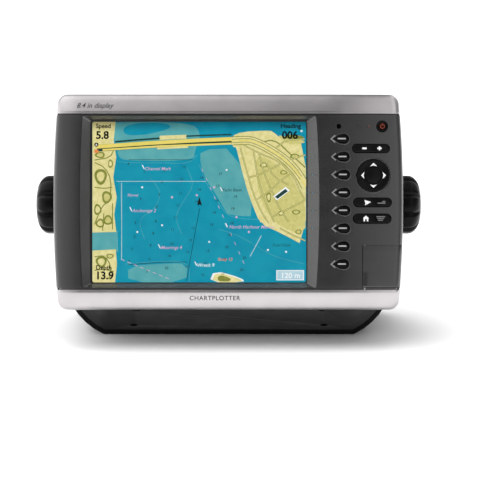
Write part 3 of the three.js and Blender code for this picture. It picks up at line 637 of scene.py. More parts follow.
def block(x, y, z):
    bm = bmesh.new()
    bmesh.ops.create_cube(bm, size=1)
    bmesh.ops.scale(bm, vec=(x[1] - x[0], y[1] - y[0], z[1] - z[0]), verts=bm.verts)
    bmesh.ops.translate(bm, vec=((x[0] + x[1]) / 2, (y[0] + y[1]) / 2, (z[0] + z[1]) / 2), verts=bm.verts)
    return bm


def rod(radius, z, place, sides=24):
    """An upright rod."""
    bm = bmesh.new()
    bmesh.ops.create_cone(bm, cap_ends=True, segments=sides, radius1=radius, radius2=radius, depth=z[1] - z[0])
    bmesh.ops.translate(bm, vec=(place[0], place[1], (z[0] + z[1]) / 2), verts=bm.verts)
    return bm


def window_cutter():
    """A frustum that opens towards the face, with its two sides bowed outwards."""
    bm = block((SCREEN_X - SCREEN_HALF_X, SCREEN_X + SCREEN_HALF_X), (FRONT - 2, OPENING_Y + 3),
               (-SCREEN_HALF_Z, SCREEN_HALF_Z))
    bevel(bm, depth_edges(bm), 1.6, 5)
    slice_at(bm, 1, [OPENING_Y, OPENING_Y - 0.9, OPENING_Y - 1.5, OPENING_Y - 3.2, FRONT + 0.6])
    slice_at(bm, 2, [SCREEN_HALF_Z * i / 5 for i in range(-4, 5)])
    for v in bm.verts:
        share = max(0, (OPENING_Y - v.co.y) / (OPENING_Y - FRONT))
        height = v.co.z / SCREEN_HALF_Z
        v.co.x += math.copysign(share * (FRAME_LIP + FRAME_BOW * (1 - height * height)), v.co.x - SCREEN_X)
        v.co.z += FRAME_RISE * share * height
    return bm


def key_hole_cutter():
    bm = bmesh.new()
    for x, z in soft_places:
        add_plate(bm, moved_by(soft_key_outline(0.7), x, z), HOLE_FRONT, HOLE_BACK)
    for name, (x, z) in ROCKERS.items():
        half_x, half_z = ROCKER_HALF[name]
        add_plate(bm, moved_by(pill_outline(half_x + 0.3, half_z, 0.45), x, z), HOLE_FRONT, HOLE_BACK)
    for place, radius, sides in ((pad_place, 14.3, 64), (power_place, 4.8, 32), (sensor_place, 2, 20)):
        add_plate(bm, moved_by(circle_outline(radius, sides), *place), HOLE_FRONT, HOLE_BACK)
    return bm


def groove_cutter():
    """Thin ribbons that follow the sloping frame and then the face."""
    edge_x = SCREEN_X + SCREEN_HALF_X
    bm = bmesh.new()
    for x, z in soft_places:
        bow = 10.2 - 2.4 * (z / SCREEN_HALF_Z) ** 2
        low_side = [(edge_x + 0.7, OPENING_Y + 0.1), (edge_x + bow + 0.4, FRONT + 0.5), (x - 8.4, FRONT + 0.5)]
        high_side = [(x - 8.4, FRONT - 2), (edge_x + bow - 2, FRONT - 2), (edge_x - 2, OPENING_Y - 1)]
        face = bm.faces.new([bm.verts.new((px, py, z - 0.32)) for px, py in low_side + high_side])
        give_depth(bm, face, (0, 0, 0.64))
    bmesh.ops.recalc_face_normals(bm, faces=bm.faces)
    return bm


def door_patch(wall, gap=0, lift=0):
    """The skin that the card door fills; a cutter is lifted out of the surface and made larger."""
    return skin_patch(wall, (0, DOOR_LEFT - gap, 1), (2, DOOR_BOTTOM - gap, 1), (2, DOOR_TOP + gap, -1),
                      (1, DOOR_BACK + gap, -1), lift=lift)


def bezel_form():
    bm = head_form()
    steps = (TRIM_TOP - 0.3, TRIM_TOP - 0.2, TRIM_BOTTOM + 0.2, TRIM_BOTTOM + 0.3)
    slice_at(bm, 2, steps)
    slice_at(bm, 1, [TRIM_BACK + 0.3, TRIM_BACK + 0.4])
    bm.normal_update()
    covered = [v for v in bm.verts if v.co.z > steps[1] - 0.01 or v.co.z < steps[2] + 0.01]
    for v, normal in [(v, v.normal.copy()) for v in covered if v.co.y < TRIM_BACK + 0.31]:
        v.co -= TRIM_STEP * normal
    return bm


def cavity():
    bm = head_form()
    bmesh.ops.scale(bm, vec=(0.971, 1, 0.955), verts=bm.verts)
    bmesh.ops.translate(bm, vec=(0, 4.2, 0), verts=bm.verts)
    room = as_object(bm, "room")
    window_wall = as_object(block((SCREEN_X - 91, SCREEN_X + 91), (-80, OPENING_Y), (-69, 69)), "window_wall")
    bay_wall = as_object(block((102.5, 160), (-80, -45), (-71, -33)), "bay_wall")
    return carve(room, "DIFFERENCE", window_wall, bay_wall)


bezel = as_object(bezel_form(), "bezel_moulding")
tools = [cavity(), as_object(window_cutter(), "window"), as_object(key_hole_cutter(), "key_holes")]
tools.append(as_object(groove_cutter(), "grooves"))
carve(bezel, "DIFFERENCE", *tools)
bay = as_object(block((107.3, 134), (-80, -47), (-66.5, -37.5)), "bay")
pin_room = as_object(rod(2.6, (DOOR_BOTTOM - 0.3, DOOR_TOP + 0.3), PIN), "pin_room")
door_room = as_object(door_patch(4.2, 0.4, 0.9), "door_room")
carve(bezel, "DIFFERENCE", bay, pin_room, door_room)
# Painted shade: widths of the matt black band at the window's inner lip, widest at the top where the frame shades it
# and narrowest on the lit right.
UPPER_SHADE_BAND, RIGHT_SHADE_BAND, OTHER_SHADE_BAND = 3.2, 0.9, 1.5
SHADED_FRONT_RIM = 0.6
window_faces = {"slope": [], "lip": []}
for face in bezel.data.polygons:
    x, y, z = face.center
    inside = abs(x - SCREEN_X) < SCREEN_HALF_X + 10.3 and abs(z) < SCREEN_HALF_Z + 4.6
    if inside and FRONT + 0.02 < y < OPENING_Y - 0.01 and -0.98 < face.normal.y < -0.1:
        sideways = abs(x - SCREEN_X) / SCREEN_HALF_X > abs(z) / SCREEN_HALF_Z
        right = sideways and x > SCREEN_X
        lip = RIGHT_SHADE_BAND if right else UPPER_SHADE_BAND if z > 0 and not sideways else OTHER_SHADE_BAND
        # Painted shade: faces in the lip band, and in the front rim except on the lit right side, go dark.
        dark = y > OPENING_Y - lip or (y < FRONT + SHADED_FRONT_RIM and not right)
        window_faces["lip" if dark else "slope"].append(face.index)
settle(bezel, FACE, "head", charcoal, "bezel_plastic", "front_bezel", angle=28)
# The paler grey on the slope is a painted sheen; the black rubber on the lip is partly the dark gasket and partly
# painted shade.
for material, indices in ((frame_painted_sheen, window_faces["slope"]), (seal_rubber, window_faces["lip"])):
    bezel.data.materials.append(material)
    for index in indices:
        bezel.data.polygons[index].material_index = len(bezel.data.materials) - 1
print("window frame faces:", {name: len(found) for name, found in window_faces.items()})

# %% [markdown]
# ## The card door
#
# The door is the lower right corner of the face, cut out of the same surface. A round knuckle inside
# its left edge turns on a steel pin. The door's rims are softened so that the joint line shows.

# %% Card door
door = as_object(soften_rims(door_patch(3), 0.35), "card_door_skin")
knuckle = rod(1.9, (DOOR_BOTTOM + 0.1, DOOR_TOP - 0.1), PIN, 20)
shell = as_object(knuckle, "knuckle")
trimmed = head_form()
bmesh.ops.translate(trimmed, vec=(0, 0.05, 0), verts=trimmed.verts)
carve(shell, "INTERSECT", as_object(trimmed, "face_limit"))
carve(door, "UNION", shell)
carve(door, "DIFFERENCE", as_object(rod(0.95, (DOOR_BOTTOM - 1, DOOR_TOP + 1), PIN, 16), "pin_hole"))
settle(door, FACE, "card_door", charcoal, "bezel_plastic", "card_door")

# %% [markdown]
# ## Keys
#
# A key is a plate whose front rim is rounded. Its front must lie parallel to the curved face, so each
# point is pushed back by the face's own drop at that place. Each soft key has a raised collar round it.
# A pale chevron at its left, pointing along its line to the screen, is a painted highlight: it stands
# for the glint that the collar's rim catches there.

# %% Soft keys
PROUD = 1.3
PRINT_LIFT, PRINT_THICKNESS = 0.03, 0.12


def follow_face(bm, extra=None):
    """Moves every point back with the face; extra(x, z) adds a key's own relief to its front."""
    back = max(v.co.y for v in bm.verts)
    front = min(v.co.y for v in bm.verts)
    for v in bm.verts:
        share = (back - v.co.y) / (back - front)
        v.co.y += face_drop(v.co.x, v.co.z) * share
        if extra and share > 0.8:
            v.co.y += extra(v.co.x, v.co.z)
    return bm


def key_cap(outline, back, edge=0.7, slices=(), extra=None):
    bm = plate(outline, FRONT - PROUD, back)
    bevel(bm, edges_before(bm, FRONT - PROUD + 0.01), edge, 4)
    slice_at(bm, 0, slices)
    return follow_face(bm, extra)


def printed(outline, level=FRONT - PROUD):
    """A thin print that lies on a key's front."""
    return follow_face(plate(outline, level - PRINT_LIFT, level - PRINT_LIFT + PRINT_THICKNESS))


def soft_line(x, z):
    bar = pill_outline(3.3, 0.55)
    return printed(moved_by(bar, x + 0.6, z + 0.15))


for name, (x, z) in zip(SOFT_KEYS, soft_places):
    cap = key_cap(moved_by(soft_key_outline(-0.1), x, z), -53.4, 0.8)
    settle(as_object(cap, f"{name}_cap"), FACE, name, key_rubber, "key_rubber", name)
    settle(as_object(soft_line(x, z), f"{name}_line"), FACE, name, ink["grey"], "key_rubber")


def collar_ring(x, z):
    """A band round a soft key: its outer outline is wider than its inner one at the left."""
    outer = moved_by([(px * (1.08 if px < 0 else 1.02), pz) for px, pz in soft_key_outline(1.7)], x, z)
    bm = plate(outer, FRONT - 0.55, FRONT + 0.6)
    bevel(bm, edges_before(bm, FRONT - 0.54), 0.5, 3)
    ring = as_object(follow_face(bm), "ring")
    hole = as_object(plate(moved_by(soft_key_outline(0.75), x, z), FRONT - 5, FRONT + 5), "hole")
    return carve(ring, "DIFFERENCE", hole)


def merged(parts):
    """The meshes of several objects as one bmesh; the objects are removed."""
    bm = bmesh.new()
    for part in parts:
        bm.from_mesh(part.data)
        bpy.data.objects.remove(part)
    return bm


def gather(*outlines, level):
    """Several prints at one level, as one mesh."""
    return merged(as_object(printed(outline, level=level), "part") for outline in outlines)


collars = merged(collar_ring(x, z) for x, z in soft_places)
settle(as_object(collars, "softkey_collars"), FACE, "head", charcoal, "bezel_plastic")

# Painted highlight: a pale chevron left of each soft key stands for the glint on the collar's rim.
PAINTED_GLINT = [(-8.7, 0), (-5, 3.3), (-4.3, 2.2), (-7.1, 0), (-4.3, -2.2), (-5, -3.3)]
painted_glints = gather(*[moved_by(PAINTED_GLINT, x, z) for x, z in soft_places], level=FRONT - 0.58)
settle(as_object(painted_glints, "softkey_painted_glints"), FACE, "head", painted_glint_grey, "bezel_plastic")

# %% [markdown]
# ## Rocker keys
#
# Each long key rocks about its middle. Its two ends stand up a little and its waist is lower, so that a
# thumb finds the ends. The plate is sliced along its length so that it can take this saddle.

# %% Rockers
ROCKER_BACK = -53
WHITE_DIP, FAINT_DIP = 0.42, 0.2


def saddle(x0, half):
    return lambda x, z: 0.75 * math.cos(min(1, abs(x - x0) / (0.62 * half)) * math.pi / 2) ** 2


def rectangle(x0, x1, z0, z1):
    return [(x0, z0), (x1, z0), (x1, z1), (x0, z1)]


PLUS = [(-1.7, -0.6), (-0.6, -0.6), (-0.6, -1.5), (0.6, -1.5), (0.6, -0.6), (1.7, -0.6),
        (1.7, 0.6), (0.6, 0.6), (0.6, 1.5), (-0.6, 1.5), (-0.6, 0.6), (-1.7, 0.6)]
HOUSE = [(-1.9, -2.2), (-0.7, -2.2), (-0.7, -0.4), (0.7, -0.4), (0.7, -2.2), (1.9, -2.2), (1.9, 0.2),
         (2.5, 0.2), (0, 2.4), (-2.5, 0.2), (-1.9, 0.2)]
FLAG = [(-2.5, 1.9), (2.8, 0.4), (-0.3, -1.7), (-0.9, -1.3), (-1.5, -2.3), (-2, -2.1), (-1.7, -0.6)]
WHITE = {"range_rocker": [moved_by(pill_outline(1.9, 0.75), -5.4, 0), moved_by(PLUS, 6.7, 0)],
         "mark_rocker": [moved_by(FLAG, -4.2, 0)], "home_rocker": [moved_by(HOUSE, -5.2, 0)]}
FAINT = {"mark_rocker": [moved_by(pill_outline(3.2, 0.45), 7, -0.6), moved_by(pill_outline(1.2, 0.4), 8.8, 0.7)],
         "home_rocker": [rectangle(3.2, 10.2, 1.2, 2), rectangle(3.8, 9.4, -0.2, 0.7), rectangle(4.4, 8.4, -1.7, -0.8)]}

for name, (x, z) in ROCKERS.items():
    half_x, half_z = ROCKER_HALF[name]
    cap = key_cap(moved_by(pill_outline(half_x, half_z, -0.05), x, z), ROCKER_BACK, 1.1,
                  [x - half_x + 1.45 * half_x * i / 14 + 0.27 * half_x for i in range(15)], saddle(x, half_x))
    settle(as_object(cap, f"{name}_cap"), FACE, name, key_rubber, "key_rubber", name)
    white = gather(*[moved_by(o, x, z) for o in WHITE[name]], level=FRONT - PROUD + WHITE_DIP)
    settle(as_object(white, f"{name}_print"), FACE, name, ink["white"], "key_rubber")
    if name in FAINT:
        faint = gather(*[moved_by(o, x, z) for o in FAINT[name]], level=FRONT - PROUD + FAINT_DIP)
        settle(as_object(faint, f"{name}_faint_print"), FACE, name, ink["faint"], "key_rubber")

# %% [markdown]
# ## The four-way pad and the power key
#
# Both are round, so a profile is drawn from the middle outwards and spun round the key's axis. The pad
# has a flat button in the middle, a groove, a dished ring for the arrows and a rounded rim.

# %% Pad and power key


def spin_round(axis, points, steps):
    """Spins a chain of points round an axis through the origin."""
    bm = bmesh.new()
    chain = [bm.verts.new(point) for point in points]
    edges = [bm.edges.new(pair) for pair in zip(chain, chain[1:])]
    bmesh.ops.spin(bm, geom=chain + edges, cent=(0, 0, 0), axis=axis, angle=math.tau, steps=steps, use_merge=True)
    bmesh.ops.remove_doubles(bm, verts=bm.verts, dist=0.001)
    return bm


def spun(profile, place, steps=72):
    """Spins (radius, depth) points round a key's axis."""
    bm = spin_round((0, 1, 0), [(radius, depth, 0) for radius, depth in profile], steps)
    bmesh.ops.recalc_face_normals(bm, faces=bm.faces)
    bmesh.ops.translate(bm, vec=(place[0], 0, place[1]), verts=bm.verts)
    return bm


PAD_PROFILE = [(0, -63.0), (5.6, -62.95), (6.1, -62.7), (6.3, -62.2), (6.6, -62.2), (6.9, -62.75), (8.4, -62.6),
               (10.2, -62.75), (11.6, -63.2), (12.4, -63.3), (13, -63), (13.35, -62.2), (13.35, -56.5),
               (4, -56.5), (4, -53.1), (0, -53.1)]
pad = follow_face(spun(PAD_PROFILE, pad_place))
settle(as_object(pad, "pad_dish"), FACE, "rocker_pad", key_rubber, "key_rubber", "rocker_pad")
ARROW = [(-2.7, -1), (0, -0.3), (2.7, -1), (0, 1.7)]
arrows = []
for quarter in range(4):
    turn = Matrix.Rotation(quarter * math.pi / 2, 2)
    arrows.append([tuple(turn @ Vector((px, pz + 8.3))) for px, pz in ARROW])
pad_print = gather(*[moved_by(arrow, *pad_place) for arrow in arrows], level=-62.72)
settle(as_object(pad_print, "pad_arrows"), FACE, "rocker_pad", ink["white"], "key_rubber")

POWER_PROFILE = [(0, -62.7), (2.6, -62.75), (3.5, -63.1), (4, -63.2), (4.35, -62.6), (4.35, -53), (0, -53)]
power = follow_face(spun(POWER_PROFILE, power_place, 40))
settle(as_object(power, "power_key_cap"), FACE, "power_key", key_rubber, "key_rubber", "power_key")
power_ring = arc(0, 0, 1.9, 115, 425, 18) + arc(0, 0, 1.35, 425, 115, 18)
power_print = gather(*[moved_by(o, *power_place) for o in (power_ring, rectangle(-0.3, 0.3, 0.4, 2.3))], level=-62.8)
settle(as_object(power_print, "power_key_print"), FACE, "power_key", ink["orange"], "key_rubber")

# %% [markdown]
# Two faint marks are printed on the bezel beside the power key: a small sun for the backlight, and a
# reddish dot.

# %% Marks beside the power key
SUN_MARK = [(1.5 * math.cos(a) * (1 if i % 2 else 0.42), 1.5 * math.sin(a) * (1 if i % 2 else 0.42))
            for i, a in enumerate([math.tau * k / 16 for k in range(16)])]
sun_mark = gather(moved_by(SUN_MARK, 104.4, 60.1), level=FRONT)
settle(as_object(sun_mark, "backlight_mark"), FACE, "head", ink["dark"], "bezel_plastic")
red_mark = gather(moved_by(circle_outline(1, 16), 112.6, 60.4), level=FRONT)
settle(as_object(red_mark, "red_mark"), FACE, "head", ink["red"], "bezel_plastic")

# %% [markdown]
# ## The lit chart
#
# The screen shows a harbour chart. It is built like a printed map, from thin layers on the panel: the
# sea is the panel itself, and shallows, land, roads, contours and lettering lie above it in steps of
# three hundredths of a millimetre. The layers glow, because a screen gives its own light. The glow
# fades along the upper edge, where the deep frame would shade it.

# %% Screen finishes


def dimmed(tree, colour):
    """The colour, fading to a darker one along the screen's upper edge."""
    height = tree.nodes.new("ShaderNodeVectorMath")
    height.operation = "DOT_PRODUCT"
    tree.links.new(tree.nodes.new("ShaderNodeTexCoord").outputs["Object"], height.inputs[0])
    height.inputs[1].default_value = FACE.col[2].xyz.normalized()
    fade = tree.nodes.new("ShaderNodeMapRange")
    tree.links.new(height.outputs["Value"], fade.inputs["Value"])
    middle = FACE.translation.dot(FACE.col[2].xyz.normalized())
    for name, value in (("From Min", middle + (SCREEN_HALF_Z - 8) / 1000), ("From Max", middle + SCREEN_HALF_Z / 1000),
                        ("To Min", 1), ("To Max", 0.4)):
        fade.inputs[name].default_value = value
    return blend_colours(tree, fade.outputs["Result"], (0, 0, 0, 1), colour)


def lit(name, colour, other, scale=90):
    """A glowing colour that wanders slightly towards a second one."""
    material = bpy.data.materials.new(name)
    material.use_nodes = True
    tree = material.node_tree
    shader = tree.nodes["Principled BSDF"]
    mask = place_group(tree, mottle_group, Scale=scale)
    glow = blend_colours(tree, mask, shade(*colour), shade(*other))
    tree.links.new(dimmed(tree, glow), shader.inputs["Emission Color"])
    shader.inputs["Emission Strength"].default_value = 1
    shader.inputs["Base Color"].default_value = (0.004, 0.004, 0.004, 1)
    shader.inputs["Roughness"].default_value = 0.3
    shader.inputs["Specular IOR Level"].default_value = 0.06
    return material


CHART = {
    "sea": lit("chart_sea", (2, 138, 168), (14, 152, 176)),
    "shallow": lit("chart_shallow", (74, 158, 166), (98, 174, 176)),
    "land": lit("chart_land", (236, 226, 166), (214, 204, 130), 330),
    "meadow": lit("chart_meadow", (216, 208, 136), (196, 190, 112), 420),
    "green": lit("chart_green", (112, 124, 44), (148, 148, 70), 500),
    "pale": lit("chart_pale", (168, 204, 218), (186, 214, 226)),
    "road": lit("chart_road", (226, 206, 92), (238, 220, 120)),
    "dark": lit("chart_dark", (20, 52, 50), (36, 74, 62), 300),
    "black": lit("chart_black", (6, 10, 10), (14, 18, 18)),
    "pink": lit("chart_pink", (206, 160, 196), (220, 184, 210)),
    "white": lit("chart_white", (232, 238, 238), (244, 248, 248)),
    "orange": lit("chart_orange", (226, 120, 60), (236, 140, 80)),
}
print("chart colours:", list(CHART))

# %% [markdown]
# ## Drawing tools for the chart
#
# Three small tools draw everything: a patch is a plate with a given outline, a line is a curve with a
# round section that is flattened, and a label is a text object that becomes a mesh. Each one adds its
# mesh to the layer of its colour, so that a layer is one piece in the end.

# %% Chart tools
panel_low, panel_high = local_box("lcd_panel", FACE)
GLASS_FRONT = panel_low.y + 0.15
STEP, LAYER_THICKNESS = 0.03, 0.02
layers = {}


def into_layer(colour, level, mesh):
    key = (colour, level)
    layers.setdefault(key, bmesh.new()).from_mesh(mesh)
    bpy.data.meshes.remove(mesh)


def depth_of(level):
    return GLASS_FRONT - STEP * level


def quarter_points(pairs):
    """Two points on each stretch of a path, a quarter of its length from either end."""
    return [(a[0] + t * (b[0] - a[0]), a[1] + t * (b[1] - a[1])) for a, b in pairs for t in (0.25, 0.75)]


def patch(colour, level, outline, smooth=0):
    """A plate on the chart; smooth rounds its corners with a few passes."""
    loop = outline
    for _ in range(smooth):
        loop = quarter_points(zip(loop, loop[1:] + loop[:1]))
    bm = plate(moved_by(loop, SCREEN_X, 0), depth_of(level), depth_of(level) + LAYER_THICKNESS)
    mesh = bpy.data.meshes.new("patch")
    bm.to_mesh(mesh)
    bm.free()
    into_layer(colour, level, mesh)


def mesh_of(data, name):
    """Turns curve or text data into a mesh."""
    maker = bpy.data.objects.new(name, data)
    bpy.context.scene.collection.objects.link(maker)
    mesh = bpy.data.meshes.new_from_object(maker.evaluated_get(bpy.context.evaluated_depsgraph_get()))
    bpy.data.objects.remove(maker)
    return mesh


STAND = Matrix.Rotation(math.pi / 2, 4, "X")


def rounded_path(points, passes):
    """Cuts the corners of a path, keeping its ends."""
    for _ in range(passes):
        points = [points[0]] + quarter_points(zip(points, points[1:]))[1:-1] + [points[-1]]
    return points


def line(colour, level, points, width, smooth=0):
    points = rounded_path(points, smooth)
    curve = bpy.data.curves.new("line", "CURVE")
    curve.dimensions = "2D"
    curve.fill_mode = "NONE"
    curve.bevel_depth = width / 2
    curve.bevel_resolution = 1
    spline = curve.splines.new("POLY")
    spline.points.add(len(points) - 1)
    for point, (x, z) in zip(spline.points, points):
        point.co = (x, z, 0, 1)
    mesh = mesh_of(curve, "line")
    flat = Matrix.Diagonal((1, 1, 0.02 / width, 1))
    mesh.transform(Matrix.Translation((SCREEN_X, depth_of(level), 0)) @ STAND @ flat)
    into_layer(colour, level, mesh)


def lettering(text, size, bold=0, slant=0):
    words = bpy.data.curves.new("words", "FONT")
    words.body = text
    words.size = size
    words.offset = bold
    words.shear = slant
    words.extrude = 0.01
    words.resolution_u = 3
    return mesh_of(words, "words")


def label(colour, level, text, x, z, size, bold=0, slant=0):
    mesh = lettering(text, size, bold, slant)
    mesh.transform(Matrix.Translation((SCREEN_X + x, depth_of(level), z)) @ STAND)
    into_layer(colour, level, mesh)


# %% [markdown]
# ## Land, shallows and roads
#
# The shore runs down the left edge and up the right side, and a bridge crosses the top. Corners are cut
# a few times over, which turns a rough outline into a natural shore.

# %% Shore and bridge
edge = 86.2
patch("land", 2, [(-edge, 64.8), (-67.5, 64.8), (-69, 50), (-67, 36), (-69.4, 20), (-66.6, 4), (-68.6, -10),
                  (-67, -24), (-edge, -24.5)])
patch("shallow", 1, [(-edge, -23), (-66, -23), (-65.5, -40), (-edge, -40)])
patch("land", 2, [(-edge, -39), (-67.4, -38), (-66.4, -50), (-68, -64.8), (-edge, -64.8)])
patch("shallow", 1, [(-edge, 64.8), (-8, 64.8), (2, 56), (-3.7, 41.3), (-4.8, 33.3), (-57.4, 33.3),
                     (-66, 36), (-66, 50)], 2)
patch("sea", 2, [(-60, 63), (-30, 64.8), (-20, 60), (-44, 54), (-62, 54)], 2)
patch("shallow", 1, [(0.9, 42.4), (28.9, 43.6), (47.2, -11.7), (23.8, -10.6), (20.4, -6), (13.5, 6.5), (5.5, 17.9),
                     (0.9, 30.4)], 1)
patch("shallow", 1, [(-57.4, -51.6), (-30, -49.5), (-9.4, -49.4), (-10.5, -64.6), (-57.4, -64.6)], 1)
patch("land", 2, [(26.1, 45.3), (30.7, 43.6), (36.4, 16.8), (42.1, -0.3), (49, -17.4), (66, -25),
                  (85.9, -35.7), (85.9, 48.7),
                  (69.6, 47.5), (59.3, 57.2), (54.7, 57.8), (34.1, 56.7), (26.1, 53.2)], 1)
patch("white", 2, [(12, -54.8), (34.6, -61.3), (36.6, -64.6), (8, -64.6)], 1)
patch("land", 3, [(13.5, -55.9), (33.4, -61.9), (34.6, -64.6), (9.5, -64.6)], 1)
patch("green", 4, [(16, -58.2), (26, -61.4), (24, -64.2), (14, -63.6)], 2)

BRIDGE = [(-82.6, 44.7), (-40, 47.7), (0, 49.9), (26, 51)]
line("dark", 2, [(-67.7, 48.7), (-50, 50.2), (-32, 51.5)], 1.4)
line("dark", 2, [(-10.5, 53.2), (8, 54), (26, 54.6)], 1.2)
patch("land", 2, [(-32, 50.2), (-10.5, 51.2), (-10.5, 54.4), (-32, 53.6)])
patch("land", 2, [(-34, 42.6), (-9, 43.8), (-9, 46), (-34, 45)])
line("dark", 3, [(x, z - 1.2) for x, z in BRIDGE], 5.6)
line("road", 4, BRIDGE, 3)
line("road", 4, [(-78, 42.1), (-30, 45.2), (26, 47.3)], 1.5)

ROAD = [(26, 49.3), (36, 49.9), (42, 49.6), (50, 46.4), (59.3, 41.2), (68, 35.4), (76.4, 27.4),
        (82, 19.5), (85.6, 12.6)]
patch("meadow", 3, [(45, 38), (58, 34), (74, 22), (80, 8), (85.4, 2), (85.6, -28), (66, -20), (57, -12),
                    (50, 0), (46, 18)], 1)
patch("meadow", 3, [(62, 55), (70, 46.5), (84.8, 47.4), (84.8, 50), (74, 50.6)], 1)
line("green", 4, ROAD, 7.2, 1)
line("land", 5, ROAD, 6, 1)
for offset in (-1.4, 1.4):
    line("green", 6, [(x + 0.35 * offset, z + offset) for x, z in ROAD[:-1]], 0.5, 1)
line("road", 6, ROAD, 0.9, 1)
MINOR = [[(35.2, 46.4), (47.8, 39.6), (65, 32.7), (76.4, 20.2), (81, 8.8), (85.4, 1.9)],
         [(43.8, 40.7), (45.4, 30), (47.8, 16.8), (53.5, -0.3), (60.4, -16.3)],
         [(59.3, -11.7), (70.7, -6), (78, -2.4), (85.4, 1.9)], [(65, -21), (74, -26), (85.4, -31)],
         [(40.4, 20), (48, 22), (58, 27), (66, 31)], [(46, 2), (56, 8), (66, 18), (75, 24)]]
MINOR += [[(33, 44), (38, 26), (43, 8), (50, -8), (56, -17)], [(48, 40), (52, 24), (58, 10), (64, -4), (72, -16)],
          [(72, 32), (78, 36), (85.4, 38)], [(62, 44), (70, 50), (85, 51)], [(54, 32), (60, 20), (72, 14)]]
for path in MINOR:
    line("green", 4, path, 1.2, 1)
    line("land", 5, path, 0.45, 1)
line("green", 4, [(45, 45), (56, 50.5), (64, 48), (72, 40), (80, 33), (85.4, 28)], 1, 1)
line("land", 5, [(31, 44), (37.5, 18), (43.4, 0), (50.5, -16)], 2.4, 1)
patch("white", 5, [(59.4, 4.6), (69.6, 12.4), (73, 9.4), (62.6, 1.4)])
patch("dark", 6, [(61, 4.4), (69.4, 10.8), (71.4, 8.8), (63, 2.6)])
patch("green", 4, [(66, 52), (76, 50.6), (84, 51), (84, 53.4), (72, 55)], 2)

PARKS = ((-79.5, 20.7, 5, 6.4), (-74.6, 4, 4, 5), (-82, -6, 3, 4.4), (-73.6, -14.5, 3.8, 4), (-80, -17, 3.4, 3.6),
         (-80, 38, 4, 2.6), (-79, -48, 4.4, 4.6), (-72, -43.5, 3, 2), (-71.6, 31, 2, 3.4), (77, 37, 4, 2),
         (52, 30, 3, 2), (80, -24, 2.6, 2), (56, 4, 2, 4), (78, -8, 3.4, 2), (66, -9, 2.4, 1.8), (68, 24, 3, 1.8))
for i, (x, z, rx, rz) in enumerate(PARKS):
    turns = [math.tau * k / 26 for k in range(26)]
    waves = [1 + 0.07 * math.sin(3 * a + i) for a in turns]
    wavy = [(x + rx * wave * math.cos(a), z + rz * wave * math.sin(a)) for a, wave in zip(turns, waves)]
    patch("green", 4, wavy)
    patch("meadow" if i % 2 else "land", 5, [(x + 0.62 * (px - x), z + 0.62 * (pz - z)) for px, pz in wavy])
PATHS = ([(-84.5, 32), (-76, 28), (-71, 18), (-72, 2), (-79, -4), (-84.5, -18)], [(-84.5, 12), (-77, 11), (-70, 12)],
         [(-84.5, -44), (-76, -43), (-71, -52), (-73, -62)], [(-84.5, 34), (-72, 36), (-69, 42)],
         [(-70, -1), (-70, -22)], [(-77, -9), (-78, -23)], [(-84.5, -55), (-77, -54), (-69, -56)])
for path in PATHS:
    line("green", 3, path, 0.8, 1)
print("chart layers so far:", len(layers))

# %% [markdown]
# ## Contours, soundings and labels
#
# Fine lines join equal depths, small figures give soundings, and pale labels stand beside marks. The
# words are plain ones. A fixed rule spreads the soundings, so that every run draws the same chart.

# %% Chart details
CONTOURS = [[(-66, 33), (-57, 31.6), (-30, 31.8), (-8, 31), (-2, 38)],
            [(-60, -50), (-34, -47.6), (-8, -47.8), (-8, -64)],
            [(0, 30), (5, 16), (13, 4), (20, -8), (28, -13), (49, -14)], [(-64, 16), (-62.6, -12), (-63, -46)],
            [(-10, 28), (-4, 14), (-12, 2), (-20, -12), (-14, -26)],
            [(16, -22), (30, -26), (44, -34), (60, -44), (85, -50)],
            [(-40, 20), (-30, 8), (-36, -6), (-50, -14), (-44, -30)], [(4, 40), (10, 24), (20, 8), (34, -6)]]
for path in CONTOURS:
    line("shallow", 3, path, 0.28, 3)
line("white", 3, [(-66.6, 16.8), (5.5, 16.8)], 0.25)
line("white", 3, [(-62.6, 15.7), (-62.6, -46)], 0.25)
line("dark", 3, [(-57.4, -50.4), (-30, -48.4), (-9.6, -48.2)], 0.5)
line("dark", 3, [(-57, 34.2), (-5, 34.2)], 0.4)
line("white", 4, [(41, -43.7), (50, -27)], 0.3)
for i in range(8):
    x, z = -63 + i * 5.1, -46 - i * 2.1
    line("pink", 3, [(x, z), (x + 2.8, z - 1.15)], 0.45)
for i in range(11):
    x, z = 2 + i * 3.3, 27 - i * 7.4
    line("pink", 3, [(x, z), (x + 1.1, z - 2.5)], 0.35)
SOUNDINGS, ACROSS_STEP, DOWN_STEP = 74, 41.3, 23.9
for i in range(SOUNDINGS):
    x = -58 + (i * ACROSS_STEP) % 136
    z = 30 - (i * DOWN_STEP) % 90
    on_land = x > 28 and z > -44
    in_corner = x > 55 and z < -44
    if not on_land and not in_corner:
        label("dark", 4, str(4 + (i * 7) % 23), x, z, 3, 0.04)
LABELS = [("pink", "Channel Mark", -44, 27, 4), ("pink", "Anchorage 2", -54, -6.8, 4),
          ("pink", "Moorings 4", -31, -36.6, 4), ("white", "Wreck 9", -2, -50.8, 4.2),
          ("dark", "Yacht Basin", 18, 9.9, 3.8), ("pink", "North Harbour Marina", 24, -20, 4.2),
          ("dark", "Fuel Dock", 59, -34.5, 3.8), ("orange", "Buoy 12", 15, -46, 3.8), ("pink", "Slipway", -58, 6, 3.2)]
for colour, words, x, z, size in LABELS:
    label(colour, 6, words, x, z - 1.2, 0.92 * size, 0.01, 0.2)
for x, z in ((-46, 29), (-56, -5), (-33, -35), (21, -18), (-3.6, -49), (17, 11)):
    line("white", 5, [(x, z + 1), (x + 1.6, z - 2.2)], 0.7)
for x, z in ((-30, -18.6), (55.3, -38.5), (-46, 12), (8, -32), (70, -40), (22, 26), (-50, -24)):
    patch("white", 5, moved_by(circle_outline(0.8, 10), x, z))
